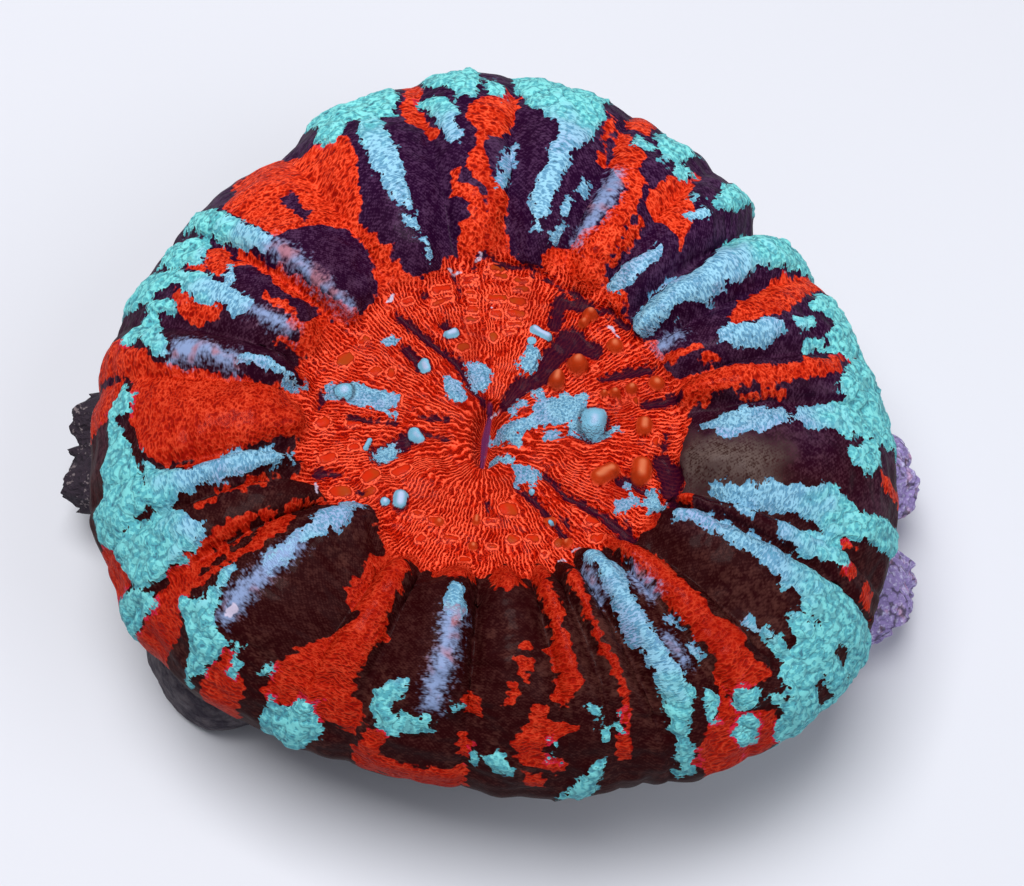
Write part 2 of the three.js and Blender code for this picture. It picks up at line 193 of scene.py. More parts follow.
TEAL_BANDS: tuple[Outline, ...] = (
    ((14.6, 5.5, 8), (15.5, 3, 10), (16.2, 2.2, 11.5), (17, 3, 12), (18, 4, 11.5), (19, 6.2, 10.5),
     (19.8, 7.2, 11), (20.4, 7.5, 9.5), (21, 6.8, 12), (22, 7, 12.5), (23, 7.5, 13), (24, 6.5, 13.5),
     (25, 7, 17), (26, 7, 19), (27.5, 8, 20), (30, 8, 22)),
    ((24.3, 1, 4.5), (25, 0.7, 6), (26, 1, 7), (26.8, 4, 9)),
    ((24, 14, 16), (25, 13.5, 18.5), (26, 13, 20.5), (27.5, 13, 23), (30, 13, 24)),
    ((25, 22.8, 25.5), (26, 21.5, 28), (27.5, 22, 31), (30, 22, 33)),
    ((25, 30.5, 32.5), (26, 29, 33.5), (28, 29, 35), (30, 30, 36)),
    ((17.2, 27, 29.5), (17.6, 26.3, 31), (18, 26, 32), (18.8, 25.3, 30), (19.2, 24.8, 29.5), (20, 24.8, 29.8),
     (20.8, 26, 29.5), (21.3, 27, 28.5)),
    ((23, 23.3, 24.5), (24.5, 23.5, 25)),
    ((22.8, 26.5, 28.8), (24, 26.8, 28.6)),
    ((12.9, 42.5, 46), (13.6, 41, 48.5), (14.5, 40.8, 49.4), (17, 41, 49.4), (17.8, 39, 49.2),
     (18.4, 40, 48.8), (19, 40.3, 47.5), (20.5, 40, 46.5), (21.5, 40.5, 47.5), (22.5, 41, 49),
     (24, 40.5, 49.4), (26, 39.5, 49.5), (28, 38.6, 49.5), (31, 38.5, 49.5)),
    ((14, 57, 60), (14.8, 54.5, 61), (15.5, 53.8, 60.8), (16.3, 54.5, 59), (17, 54, 57.5), (18, 55, 57)),
    ((21, 55, 57.5), (22, 53.5, 56.5), (22.5, 54, 56)),
    ((22.5, 57, 59), (23, 57, 59.5)),
    ((23.7, 54, 55.5), (24.5, 53, 56.5), (25.5, 53, 57), (26.5, 53.5, 58), (28.5, 53, 57)),
    ((14.7, 79.3, 81), (15.5, 79, 80.3)),
    ((16.4, 78.6, 80.2), (17.5, 78, 79.6)),
    ((18.4, 77, 79), (19.3, 76.5, 78.5)),
    ((15.1, 84, 86), (16, 83, 87), (17, 82.5, 88), (18, 82.3, 87), (19, 82, 86), (20, 81.5, 86),
     (21, 81, 85.5), (22, 79.5, 85.5), (23, 79.5, 88), (23.7, 79, 90), (24.5, 79, 91), (25.5, 80, 93),
     (28, 78, 94)),
    ((17.4, 93.8, 96), (18.5, 93, 95.5), (19.5, 92, 94.5), (20.6, 91.8, 93.3)),
    ((20.3, 101.7, 104), (21, 102, 105), (22, 102, 105.5), (22.6, 101.8, 106), (23.3, 103, 106.5),
     (24, 104, 107), (24.7, 105.2, 107.4)),
    ((23.6, 99, 102), (24.2, 98.5, 102.3), (25, 98, 103), (26, 98, 106), (28, 99, 106)),
    ((24.3, 94, 97), (25.5, 94, 97.5)),
    ((23.3, 63.2, 64.5), (24, 62.3, 65), (24.9, 62, 64)),
    ((23.3, 66.5, 67.5), (24.2, 65.5, 68), (25, 64.5, 70.5), (26.5, 64, 70.5)),
    ((23.3, 70.3, 73), (24.3, 69, 73)),
    ((13.7, 114.5, 116.5), (14.1, 113.6, 117.5), (14.5, 114.5, 116.8)),
    ((15.2, 115.5, 118), (15.6, 115, 119), (16.1, 115.3, 118.5)),
    ((16.6, 115.8, 117.6), (17.8, 115, 119), (18.5, 115, 119.5), (19.5, 114.5, 120), (20.7, 114, 120),
     (21.8, 114.5, 119.5), (23, 114.5, 119), (24.2, 114.5, 118)),
    ((24.2, 112, 116), (25, 110.5, 123), (26, 110, 123.5), (28, 110, 123)),
    ((23.7, 121.3, 123.5), (24.5, 120, 124), (25.6, 118, 124.5)),
    ((20.1, 145, 148), (21, 145, 148.5), (23, 145, 149), (25, 145, 149), (27.5, 144.5, 149)),
    ((18.6, 158.5, 162), (19.3, 159, 164), (20, 158.5, 162.5), (21, 158, 162.5), (22, 157.5, 163),
     (23, 157.3, 162), (24, 157.5, 161), (25, 157.3, 161), (27, 158, 164), (29, 158, 164)),
    ((20.8, 155, 158), (21.4, 153.5, 157)),
    ((23.5, 154, 156.5), (24.2, 150.5, 157), (25, 150, 156.5), (26, 150.5, 157), (27.3, 152, 157)),
    ((23.7, 164, 165.5), (25, 163.5, 165.5), (26.2, 163, 165)),
    ((22.8, 172.3, 175.2), (23.6, 170, 175), (24.3, 168, 172.5), (25, 166.5, 172), (26, 166, 171.5),
     (27.2, 168.5, 172)),
    ((13.3, 173, 174), (14.2, 172.5, 175), (15, 172.3, 174.8), (16, 172, 174.5), (17.7, 172, 174)),
    ((14.2, 196, 200), (15, 195.3, 201.3), (17, 195.2, 201.5), (18, 195.2, 202), (19, 197, 201.8),
     (20, 197.5, 201.8), (21, 198, 202), (22, 197, 202), (23, 196, 203.5), (24, 191.5, 204)),
    ((21.5, 209, 212), (22.3, 205, 212.3), (23, 203.5, 212.3), (24, 200, 213), (25, 190.5, 213),
     (26, 186.5, 213.5), (27, 185, 212.5), (28, 196, 211.5), (29, 197, 202)),
    ((25.3, 181, 184.5), (25.8, 179.5, 185), (26.4, 178, 184), (27.3, 183, 186)),
    ((26.2, 186, 192), (27.2, 183.5, 187.5)),
    ((27.1, 213.5, 216), (28, 211.5, 216), (29, 210.5, 216), (30, 210.5, 216), (31, 211, 215.5)),
    ((10.6, 217, 222), (11, 215.5, 223), (11.5, 215.3, 224.5), (12.3, 219, 225), (13, 221, 225.5),
     (13.6, 220, 226.5), (14.3, 219, 227.5), (15, 220.5, 227), (16, 221.3, 226.5), (17, 221.5, 224.8),
     (18, 222, 226.5), (19, 222.5, 227), (19.7, 223, 226)),
    ((21.5, 219, 220.6), (23, 221, 222.8), (24.6, 220.5, 224.5), (25.5, 218, 229), (26.3, 221, 229),
     (27, 224, 229), (28, 225, 228.5), (29, 226, 228), (29.8, 226.5, 227.5)),
    ((25, 230, 231.5), (25.5, 230, 231.3)),
    ((26.3, 231.5, 233), (27.3, 231.6, 232.8)),
    ((25.6, 235.2, 237.3), (26.3, 235, 237.5)),
    ((27, 243.5, 245.5), (27.8, 242.5, 246.5), (28.5, 239, 248), (29.2, 239, 248.3), (29.9, 239, 248),
     (30.8, 239, 243)),
    ((27.7, 238.5, 239.3), (28.5, 238.7, 240)),
    ((14.3, 263.4, 267), (15, 263.2, 268.3), (15.8, 263.3, 269), (16.6, 264.6, 268.6)),
    ((22.7, 258, 260), (23.4, 256, 260.7), (24.2, 254.8, 259.5), (25, 255.3, 258.5), (25.8, 255.5, 258.8),
     (26.3, 256, 262), (26.9, 256.5, 262)),
    ((25.4, 260, 262), (26, 260, 266.5), (26.8, 259, 266), (27.1, 259, 261)),
    ((25.3, 264, 266.5), (26, 263, 266.5)),
    ((24, 269, 270.8), (24.8, 268, 269.6)),
    ((27.3, 277, 278.5), (27.8, 275.3, 279), (28.4, 276, 280), (28.8, 277, 280)),
    ((27, 273.6, 274.6), (28.7, 273, 274)),
    ((26.3, 286.3, 287.6), (27.5, 286, 287)),
    ((23.8, 293.5, 295.5), (24.4, 293.7, 295.2)),
    ((25.6, 294.8, 296), (26.4, 295, 295.8)),
    ((24.7, 297.9, 298.5), (26, 297.7, 298.3)),
    ((28.5, 292, 294.6), (29.2, 290.5, 294), (30, 289.5, 293), (30.9, 286.5, 291)),
    ((11.6, 308, 313), (12.5, 307.5, 314), (13, 307.5, 315.5), (14, 307, 316), (15, 306.8, 314),
     (16, 306.5, 312), (17, 305.5, 311), (18, 305, 310.5), (19, 305, 310), (20, 306, 310), (21, 306, 310),
     (22, 306, 311.5), (23, 306, 310.5), (24, 306, 311), (25, 305.8, 309.5), (26, 305.5, 308),
     (27, 306, 307.5), (28, 305.3, 307.5), (30, 305, 307.5)),
    ((18.7, 314, 316.6), (19.6, 314.3, 316.4)),
    ((21, 314, 316.5), (22, 314, 316.4)),
    ((24.2, 312.5, 313.5), (25, 311.5, 315), (26.3, 311, 312.3)),
    ((25.1, 316.8, 318.5), (26, 316, 320.2), (26.7, 316, 319)),
    ((27.2, 315.5, 318), (28, 314, 318), (28.7, 314, 317.5), (29.4, 315, 317)),
    ((26.7, 320.3, 322.5), (27.5, 321, 323), (28, 321.5, 322.8)),
    ((21.5, 325.8, 327.3), (22.5, 325.5, 327.3), (23, 326.8, 328), (24, 326.3, 328.3), (25.5, 326, 328)),
    ((23.4, 331.5, 333), (24.3, 330, 333.5), (25, 329, 333.5), (25.6, 323.5, 334), (26.3, 323.5, 341),
     (27.5, 323, 341), (28.3, 322, 341), (29.2, 319.5, 341), (30, 319.5, 341), (31.5, 320, 341)),
    ((16.6, 344.2, 347.4), (18.4, 344.3, 347.2)),
    ((14.1, 334.7, 337.5), (14.8, 335.5, 341.3), (16, 336.5, 341.4), (17.5, 336, 341.4), (19, 335.8, 341.4),
     (20, 335.5, 341), (21, 335, 341), (22, 334.5, 341), (23, 335, 341), (23.7, 333.5, 341), (25, 334, 341),
     (27, 334, 341)),
    ((20.5, 343, 346.5), (21.5, 342.5, 346.5), (22.5, 342, 347.5), (23.5, 343, 348.5), (24.5, 343, 349),
     (25.3, 344, 346)),
    ((15.7, 348, 350), (16.6, 346.5, 350.5), (17.5, 346.5, 351), (18.3, 346.5, 352), (19, 348, 352.8),
     (20, 348.5, 353.3), (21, 349, 354.3), (22, 349, 355.3), (23, 348.5, 355.5), (24, 348, 354.5),
     (25, 349.5, 354), (26, 350, 354.5), (27, 351, 355), (28, 351, 355.8), (29, 352, 356.5),
     (30, 353.5, 357)),
    ((11.1, 338, 345), (11.8, 338.5, 345.5), (12.5, 338, 342)),
)
PALE_BANDS: tuple[Outline, ...] = (
    ((15.4, 73.3, 75), (16.2, 72, 74.5), (17.3, 70.6, 73.6), (18, 70.4, 74), (19, 70.2, 74.3), (20, 70.8, 74),
     (20.6, 71.8, 73.6)),
    ((13.3, 144.5, 146.3), (14.3, 145.3, 147), (15, 145.5, 147), (16, 145.7, 147.4), (17, 145.3, 147.5),
     (18, 144.8, 147.3), (19, 144.5, 147.5), (19.7, 145.2, 147)),
    ((15.7, 160.7, 162.5), (17, 160.3, 163), (18.3, 160.5, 162)),
    ((18.2, 173, 176), (19, 172.5, 175.5), (20, 171.5, 174.5), (21, 171.3, 175.5), (22.2, 171.5, 175)),
    ((17, 222.8, 225.5), (18.5, 223, 226.6), (20.2, 223.5, 226.6), (21.5, 223.8, 226.6), (22.3, 223.5, 227),
     (23.2, 224.4, 227.4), (24.2, 225, 226.8)),
    ((16.2, 264.4, 268.6), (17.3, 264, 268), (18, 264, 268.2), (19.2, 264.8, 268), (20.5, 264, 268),
     (21.5, 264, 267.5), (22.3, 263.5, 267.5), (23.5, 264, 266.8), (24.8, 264.3, 266.7)),
    ((13.6, 34.5, 37.5), (15, 34.8, 37)),
    ((12.5, 304.6, 306.6), (15.5, 304.4, 305.8)),
    ((14.6, 314.4, 317), (16.8, 314.4, 317)),
    ((20, 311.2, 312.3), (22, 311.2, 312.4)),
)
OLIVE_BANDS: tuple[Outline, ...] = (
    ((13, 349, 363), (16, 350, 362), (19, 351, 361)),
)
GAP_BANDS: tuple[Outline, ...] = (
    ((28.3, 327.5, 329.5), (29.3, 327.5, 329.5)),
    ((27.5, 333, 334.5), (28.8, 333, 334.5)),
    ((18.5, 86.5, 89), (20.5, 86.5, 89)),
    ((24.2, 201.8, 203.3), (25.5, 202.3, 203.2), (27.2, 202.8, 203.4)),
    ((20, 134.5, 137.5), (22.5, 134.5, 137.5)),
)

# Markings of the oral disc. Each is a stroke through points of (x, y, half width) about the mouth
TEAL_STROKES: tuple[Outline, ...] = (
    ((-1.55, 4.5, 0.75), (-1.25, 3.5, 0.5)),
    ((-3.1, 3.4, 0.55), (-2.6, 2.4, 0.65)),
    ((2.1, 6.4, 0.5), (1.9, 5.5, 0.6)),
    ((0, 0.2, 0.3), (1.3, 0.3, 0.5), (2.0, -0.5, 0.3)),
    ((0.8, 0.5, 0.4), (2.4, 1.2, 0.6), (3.6, 2.1, 0.95), (5.0, 2.5, 1.1), (5.7, 3.6, 0.3)),
    ((5.4, 1.4, 0.6), (7.2, 0.7, 0.4), (8.3, 1.6, 0.4)),
    ((3.8, 0.4, 0.2), (4.4, 0.4, 0.2)),
    ((1.3, 1.7, 0.3), (1.3, 1.7, 0.3)),
    ((1.8, 2.6, 0.3), (1.8, 2.6, 0.3)),
    ((2.5, 3.4, 0.25), (2.9, 3.4, 0.25)),
    ((0.3, -1.5, 0.3), (1.3, -1.6, 0.4)),
    ((2.0, -2.3, 0.4), (3.0, -2.9, 0.5), (2.3, -3.3, 0.25)),
    ((-10.9, 1.4, 0.5), (-9.9, 1.8, 0.8), (-8.6, 1.6, 0.8), (-7.4, 1.4, 0.8), (-7.6, 0.7, 0.35),
     (-6.6, 0.5, 0.15)),
    ((-7, -2.4, 0.6), (-6.3, -1.7, 0.5)),
    ((9.4, -2.8, 0.35), (9.7, -3.4, 0.4), (9.1, -4.4, 0.4)),
    ((11.0, -3.4, 0.4), (11.4, -4.4, 0.5)),
    ((-7.7, 6, 0.4), (-7.7, 6, 0.4)),
)
# Dark valleys of the disc, partly dark flesh and partly painted shade in the hollows; the thin lines along
# the far edge of the disc are painted shadow under the overhanging lobes.
VALLEY_STROKES: tuple[Outline, ...] = (
    ((0.4, 2.2, 0.3), (1.7, 4, 0.6), (3, 5, 0.65), (3.5, 6.5, 0.8), (4.6, 8, 1.0), (6.3, 7.2, 0.55)),
    ((3.4, 9, 0.5), (3.6, 10.9, 0.6), (6.4, 10.5, 0.35)),
    ((-0.6, 2.4, 0.25), (-1.6, 3.2, 0.3), (-2.6, 4.6, 0.28), (-4, 5.8, 0.3), (-5.5, 6.8, 0.28),
     (-7.4, 8.1, 0.35)),
    ((-5, 0.7, 0.15), (-3.2, 0.7, 0.2)),
    ((-9.5, -0.1, 0.15), (-6.5, -0.1, 0.15)),
    ((-4.5, -0.6, 0.2), (-3, -0.7, 0.15)),
    ((3.8, -2.6, 0.2), (5.5, -4, 0.3), (7.5, -4.8, 0.35), (9.8, -6.5, 0.5)),
    ((2, -3.6, 0.15), (3.5, -4.6, 0.3), (4.5, -5.8, 0.25), (5.7, -7, 0.15)),
    ((7, 5.2, 0.25), (10, 6.3, 0.45)),
    ((10, 3.6, 0.3), (12, 4.0, 0.5)),
    ((-11, -4.6, 0.4), (-9.7, -4.3, 0.25)),
    ((-4.1, 7.9, 0.4), (-4.1, 7.9, 0.4)),
    ((-5.9, 9.9, 0.3), (-5.9, 9.9, 0.3)),
    ((8.9, -2.4, 0.4), (9.4, -2.2, 0.4), (10.6, -3, 0.3)),
    ((11.4, -0.6, 0.6), (12.2, -1.8, 0.8), (12.3, -4.4, 0.4)),
    ((-2.2, 13.4, 0.08), (0.3, 13.0, 0.14), (2.4, 12.5, 0.14), (4.3, 11.5, 0.2), (6.8, 10.4, 0.14),
     (8.3, 9.2, 0.14)),
    ((-4.1, 12, 0.18), (-3.6, 11.1, 0.12), (-3.3, 9.8, 0.15)),
    ((-2.65, 12.6, 0.2), (-2.65, 12.6, 0.2)),
    ((-11.7, 0.25, 0.2), (-11.5, 1.3, 0.3)),
    ((-8.6, -0.1, 0.2), (-8.6, -0.1, 0.2)),
    ((-8.1, -5.5, 0.18), (-7.9, -5.8, 0.12)),
    ((0.2, -5, 0.1), (0.5, -6, 0.12)),
    ((5.2, -5.4, 0.14), (5.9, -6.3, 0.14)),
    ((-7.1, -2.5, 0.75), (-5.4, -1.1, 0.55)),
    ((5.3, 0.9, 0.25), (6.6, 0.4, 0.25), (7.6, 0.9, 0.3), (7.7, 2.2, 0.12)),
    ((-6.6, 5.7, 0.3), (-5.4, 4.4, 0.4)),
    ((11.6, 0.6, 0.25), (11.7, 1.5, 0.15)),
)
LIP_STROKES: tuple[Outline, ...] = (
    ((-0.3, 2.3, 0.12), (-0.4, 0.3, 0.24), (-0.4, -2.3, 0.1)),
)
CELL_STROKES: tuple[Outline, ...] = (
    ((-3.35, 11.7, 0.2), (-2.35, 11.85, 0.2)), ((-3.3, 11.33, 0.17), (-2.3, 11.4, 0.17)),
    ((-1.15, 12.2, 0.24), (-0.55, 12.2, 0.24)), ((-1.45, 12.8, 0.28), (-0.75, 12.9, 0.3)),
    ((0.4, 12.05, 0.26), (1.1, 12.05, 0.26)), ((0.45, 11.4, 0.22), (1.15, 11.4, 0.22)),
    ((-1.2, 10.33, 0.32), (-0.4, 10.38, 0.32)), ((0.4, 10.35, 0.4), (0.85, 10.35, 0.42)),
    ((0.2, 9.35, 0.3), (1.1, 9.35, 0.3)), ((-2.55, 9.3, 0.3), (-2.3, 9.3, 0.32)),
    ((-2.7, 8.5, 0.22), (-2.0, 8.6, 0.22)), ((-0.95, 9.2, 0.28), (-0.55, 9.2, 0.28)),
    ((-5.05, 9.35, 0.2), (-3.95, 9.95, 0.24)), ((-5.1, 10.45, 0.33), (-4.3, 10.75, 0.35)),
    ((-2.7, 10, 0.2), (-2.4, 10, 0.2)), ((-3, 10.55, 0.18), (-2.5, 10.65, 0.2)),
    ((0.2, 8.5, 0.18), (1, 8.6, 0.18)), ((0.05, 7.85, 0.2), (0.55, 7.95, 0.2)),
    ((-0.7, 7.25, 0.3), (-0.7, 7.45, 0.28)), ((-1.9, 12.3, 0.14), (-1.65, 12.4, 0.14)),
    ((-10.6, 4.1, 0.5), (-10.4, 4.3, 0.5)), ((-8.5, 3.55, 0.34), (-8.3, 3.65, 0.34)),
    ((-7.3, 3.35, 0.28), (-7.25, 3.75, 0.28)), ((-6.5, 1.3, 0.2), (-6.55, 1.9, 0.24)),
    ((-11.5, -1, 0.4), (-11.1, -0.8, 0.4)), ((-9.5, -0.6, 0.34), (-8.9, -0.4, 0.3)),
    ((-7.5, -0.2, 0.2), (-6.9, -0.1, 0.2)), ((-9.1, -2.4, 0.3), (-8.8, -2.3, 0.3)),
    ((-7.8, -4.5, 0.5), (-7.5, -4.3, 0.55)), ((-10.8, -3.5, 0.42), (-10.4, -3.4, 0.42)),
    ((-9.7, -5.8, 0.5), (-9.1, -5.7, 0.5)), ((-6, -3.8, 0.35), (-5.4, -3.4, 0.4)),
    ((-7.9, -5.7, 0.36), (-7.3, -5.5, 0.36)), ((-7.1, 9.2, 0.28), (-6.7, 9.4, 0.28)),
    ((-2.9, 6.2, 0.34), (-2.6, 6.4, 0.34)), ((-9.6, 5.6, 0.3), (-9.3, 5.9, 0.3)),
    ((1.5, -5.6, 0.5), (1.9, -5.6, 0.5)), ((-3.2, -7, 0.28), (-2.6, -7, 0.3)),
    ((-2.1, -8.1, 0.24), (-1.5, -8.1, 0.2)), ((-3.85, -8.5, 0.28), (-3.7, -8.3, 0.3)),
    ((2.15, -7.6, 0.34), (2.45, -7.6, 0.3)), ((3.3, -7.4, 0.28), (3.7, -7.4, 0.3)),
    ((0.7, -8.3, 0.2), (1.1, -8.3, 0.2)), ((4.3, -8.4, 0.22), (4.5, -8.4, 0.22)),
    ((5.2, -7.5, 0.34), (5.4, -7.4, 0.34)), ((7.15, -5.6, 0.4), (7.45, -5.6, 0.4)),
    ((7.5, -6.9, 0.34), (7.9, -6.9, 0.34)), ((-0.85, -9.6, 0.28), (-0.55, -9.6, 0.28)),
    ((6, -4.6, 0.24), (6.6, -4.7, 0.24)), ((0.45, -6.5, 0.24), (0.95, -6.5, 0.24)),
    ((-4.3, -6.6, 0.28), (-4, -6.6, 0.28)), ((6.3, 5.8, 0.2), (6.5, 5.9, 0.2)),
    ((7, 4.1, 0.15), (7.6, 3.2, 0.15)), ((8.5, 4.8, 0.14), (8.9, 3.7, 0.14)),
    ((9.35, 3.9, 0.2), (9.4, 3.5, 0.2)), ((8.25, 3.7, 0.28), (8.35, 3.3, 0.2)),
    ((10.9, 0.7, 0.24), (11, 1, 0.2)),
)
FLECK_STROKES: tuple[Outline, ...] = (
    ((-2.6, 12.9, 0.06), (-2.3, 13.2, 0.1), (-2.4, 13.4, 0.05)),
    ((-4.3, 12.2, 0.06), (-4.0, 12.0, 0.1), (-3.6, 12.1, 0.05)),
    ((-8.4, 8.9, 0.05), (-8.1, 9.2, 0.1), (-7.9, 9.7, 0.06)),
    ((-1.1, 9.6, 0.1), (-1.1, 9.6, 0.1)),
    ((6.9, 9.3, 0.08), (7.3, 9.2, 0.1), (7.6, 8.7, 0.06), (7.9, 8.5, 0.08)),
    ((-11.1, -5.3, 0.05), (-11.0, -5.8, 0.12), (-10.9, -6.5, 0.08)),
    ((6.2, -8.1, 0.08), (6.6, -8.0, 0.08)),
    ((5.3, -9.0, 0.06), (5.7, -8.8, 0.1)),
    ((-0.1, 2.1, 0.1), (0.1, 2.1, 0.08)),
    ((-15.1, -15.6, 0.26), (-14.7, -15.4, 0.3)),
)


def srgb(red: float, green: float, blue: float) -> Colour:
    """A screen colour of 0 to 255 as the linear colour that a shader takes.

    Args:
        red, green, blue: the screen values.
    Returns:
        Linear red, green, blue and a full alpha.
    """
    shares = np.array((red, green, blue)) / 255.0
    low, high = shares / 12.92, ((shares + 0.055) / 1.055) ** 2.4
    return (*np.where(shares <= 0.04045, low, high).tolist(), 1.0)


def ease(value: np.ndarray, low: float, high: float) -> np.ndarray:
    """The smooth step from 0 at low to 1 at high: 3 t squared less 2 t cubed."""
    share = np.clip((value - low) / (high - low), 0, 1)
    return share * share * (3 - 2 * share)


def grain(points: np.ndarray, size: Sequence[float] | float, seed: int) -> np.ndarray:
    """Smooth gradient noise: a random slope at each lattice corner, blended by a quintic curve.

    Args:
        points: an array of n points.
        size: the lattice step, one for all axes or one for each.
        seed: a number that shifts the lattice.
    Returns:
        n values of about -1 to 1.
    """
    scaled = points / np.asarray(size) + 31.7 * seed
    cell = np.floor(scaled)
    inside = scaled - cell
    fade = inside**3 * (inside * (inside * 6 - 15) + 10)
    total = np.zeros(len(points))
    for corner in np.ndindex(2, 2, 2):
        at = (cell + corner).astype(np.int64)
        mixed = at[:, 0] * 73856093 ^ at[:, 1] * 19349663 ^ at[:, 2] * 83492791
        mixed = ((mixed ^ (mixed >> 13)) * 1274126177) & 0x3FFFFFFF
        slope = np.stack([mixed & 1023, (mixed >> 10) & 1023, (mixed >> 20) & 1023], -1) / 511.5 - 1
        weight = np.prod(np.where(np.array(corner, bool), fade, 1 - fade), axis=1)
        total += weight * np.sum(slope * (inside - corner), axis=1)
    return 1.3 * total


def band_depth(outline: Outline, angle: np.ndarray, length: np.ndarray, radius: np.ndarray) -> np.ndarray:
    """How deep points lie inside a marking of the ring, in millimetres; outside is negative.

    The sides are straight between the outline's rows; the depth is the least of the arc to the nearer
    side and the length to the nearer end.

    Args:
        outline: rows of (length, right angle, left angle).
        angle, length, radius: where the points are.
    Returns:
        The depths.
    """
    rows = np.array(outline)
    right = np.interp(length, rows[:, 0], rows[:, 1])
    left = np.interp(length, rows[:, 0], rows[:, 2])
    turn = (angle - (left + right) / 2 + 180) % FULL_TURN - 180
    across = np.radians((left - right) / 2 - np.abs(turn)) * radius
    along = np.minimum(length - rows[0, 0], rows[-1, 0] - length) + 0.15
    return np.minimum(across, along)


def stroke_depth(outline: Outline, plan: np.ndarray) -> np.ndarray:
    """How deep points lie inside a tapering stroke: half its width less the distance to its line.

    Args:
        outline: points of (x, y, half width).
        plan: an n by 2 array of points.
    Returns:
        The depths in millimetres; outside is negative.
    """
    depth = np.full(len(plan), FAR)
    for start, end in zip(outline[:-1], outline[1:]):
        first, last = np.array(start), np.array(end)
        run = last[:2] - first[:2]
        share = np.clip((plan - first[:2]) @ run / max(run @ run, 1e-9), 0, 1)
        away = np.linalg.norm(plan - first[:2] - share[:, None] * run, axis=1)
        depth = np.maximum(depth, first[2] + share * (last[2] - first[2]) - away)
    return depth


def deepest(depths: list[np.ndarray]) -> np.ndarray:
    """The joined depth of several markings: the greatest of them, no less than FAR."""
    return np.maximum(np.max(depths, axis=0), FAR)


@dataclass
class Section:
    """A radial section: a uniform Catmull-Rom curve through points of (radius, height), by its length."""

    points: tuple[tuple[float, float], ...]
    samples: int = 4000
    lengths: np.ndarray = field(init=False, repr=False)
    curve: np.ndarray = field(init=False, repr=False)
    slopes: np.ndarray = field(init=False, repr=False)

    def __post_init__(self) -> None:
        """Samples the curve densely, sums its steps to a length, and takes its unit slope."""
        knots = np.array(self.points, float)
        last = len(knots) - 1
        along = np.linspace(0, last, self.samples)
        index = np.minimum(along.astype(int), last - 1)
        share = (along - index)[:, None]
        before, here = knots[np.maximum(index - 1, 0)], knots[index]
        after, beyond = knots[index + 1], knots[np.minimum(index + 2, last)]
        leave, arrive = (after - before) / 2, (beyond - here) / 2
        self.curve = (
            (2 * here - 2 * after + leave + arrive) * share**3
            + (3 * after - 3 * here - 2 * leave - arrive) * share**2
            + leave * share + here
        )
        steps = np.hypot(*np.diff(self.curve, axis=0).T)
        self.lengths = np.concatenate([[0.0], np.cumsum(steps)])
        slopes = np.gradient(self.curve, self.lengths, axis=0)
        self.slopes = slopes / np.linalg.norm(slopes, axis=1, keepdims=True)

    @property
    def whole(self) -> float:
        """The section's full length."""
        return float(self.lengths[-1])

    def read(self, samples: np.ndarray, length: np.ndarray) -> tuple[np.ndarray, np.ndarray]:
        """The two columns of some samples at a length along the section."""
        return np.interp(length, self.lengths, samples[:, 0]), np.interp(length, self.lengths, samples[:, 1])

    def at(self, length: np.ndarray) -> tuple[np.ndarray, np.ndarray]:
        """Radius and height at a length along the section."""
        return self.read(self.curve, length)

    def slope(self, length: np.ndarray) -> tuple[np.ndarray, np.ndarray]:
        """The unit slope at a length, outwards and upwards."""
        return self.read(self.slopes, length)


@dataclass(frozen=True)
class Lobe:
    """A pillow of the ring, from its groove over its crest to the next lobe's groove."""

    groove: float
    groove_reach: float
    crest: float
    reach: float
    height: float
    start: float


@dataclass(frozen=True)
class Bump:
    """A swelling of the oral disc, placed about the mouth: round, or drawn out both ways by (dx, dy)."""

    x: float
    y: float
    radius: float
    height: float
    dx: float = 0.0
    dy: float = 0.0

    def away(self, plan: np.ndarray) -> np.ndarray:
        """The distance of points from its middle line, in its own radii."""
        start, run = np.array((self.x - self.dx, self.y - self.dy)), 2 * np.array((self.dx, self.dy))
        share = np.clip((plan - start) @ run / max(run @ run, 1e-9), 0, 1)
        return np.linalg.norm(plan - start - share[:, None] * run, axis=1) / self.radius


@dataclass
class SkinGrid:
    """Rows of points round an axis, in belts; each belt has twice the columns of the belt inside it.

    Fields:
        belts: for each belt its lengths along the section and its count of columns.
    """

    belts: list[tuple[np.ndarray, int]]
    angle: np.ndarray = field(init=False, repr=False)
    length: np.ndarray = field(init=False, repr=False)
    faces: list[list[int]] = field(init=False, repr=False)

    def __post_init__(self) -> None:
        """Numbers the points row by row, with a point on the axis first and last, and joins them."""
        angles, lengths, rows, first = [np.zeros(1)], [np.zeros(1)], [], 1
        for steps, columns in self.belts:
            for step in steps:
                angles.append(np.arange(columns) * FULL_TURN / columns)
                lengths.append(np.full(columns, step))
                rows.append(first + np.arange(columns))
                first += columns
        angles.append(np.zeros(1))
        lengths.append(lengths[-1][:1])
        self.angle, self.length = np.concatenate(angles), np.concatenate(lengths)
        faces: list[list[int]] = np.stack(
            [np.zeros_like(rows[0]), rows[0], np.roll(rows[0], -1)], 1).tolist()
        for inner, outer in zip(rows[:-1], rows[1:]):
            faces += self.strip(inner, outer)
        edge = rows[-1]
        faces += np.stack([np.full_like(edge, first), np.roll(edge, -1), edge], 1).tolist()
        self.faces = faces

    @staticmethod
    def strip(inner: np.ndarray, outer: np.ndarray) -> list[list[int]]:
        """Faces between two rows: quads where the rows match, three triangles a step where columns double.

        Args:
            inner, outer: the two rows' point numbers.
        Returns:
            The faces, turned outwards.
        """
        ahead = np.roll(inner, -1)
        if len(inner) == len(outer):
            return np.stack([inner, outer, np.roll(outer, -1), ahead], 1).tolist()
        even, odd = outer[0::2], outer[1::2]
        after = np.roll(even, -1)
        corners = [(inner, even, odd), (inner, odd, ahead), (ahead, odd, after)]
        return np.concatenate([np.stack(corner, 1) for corner in corners]).tolist()


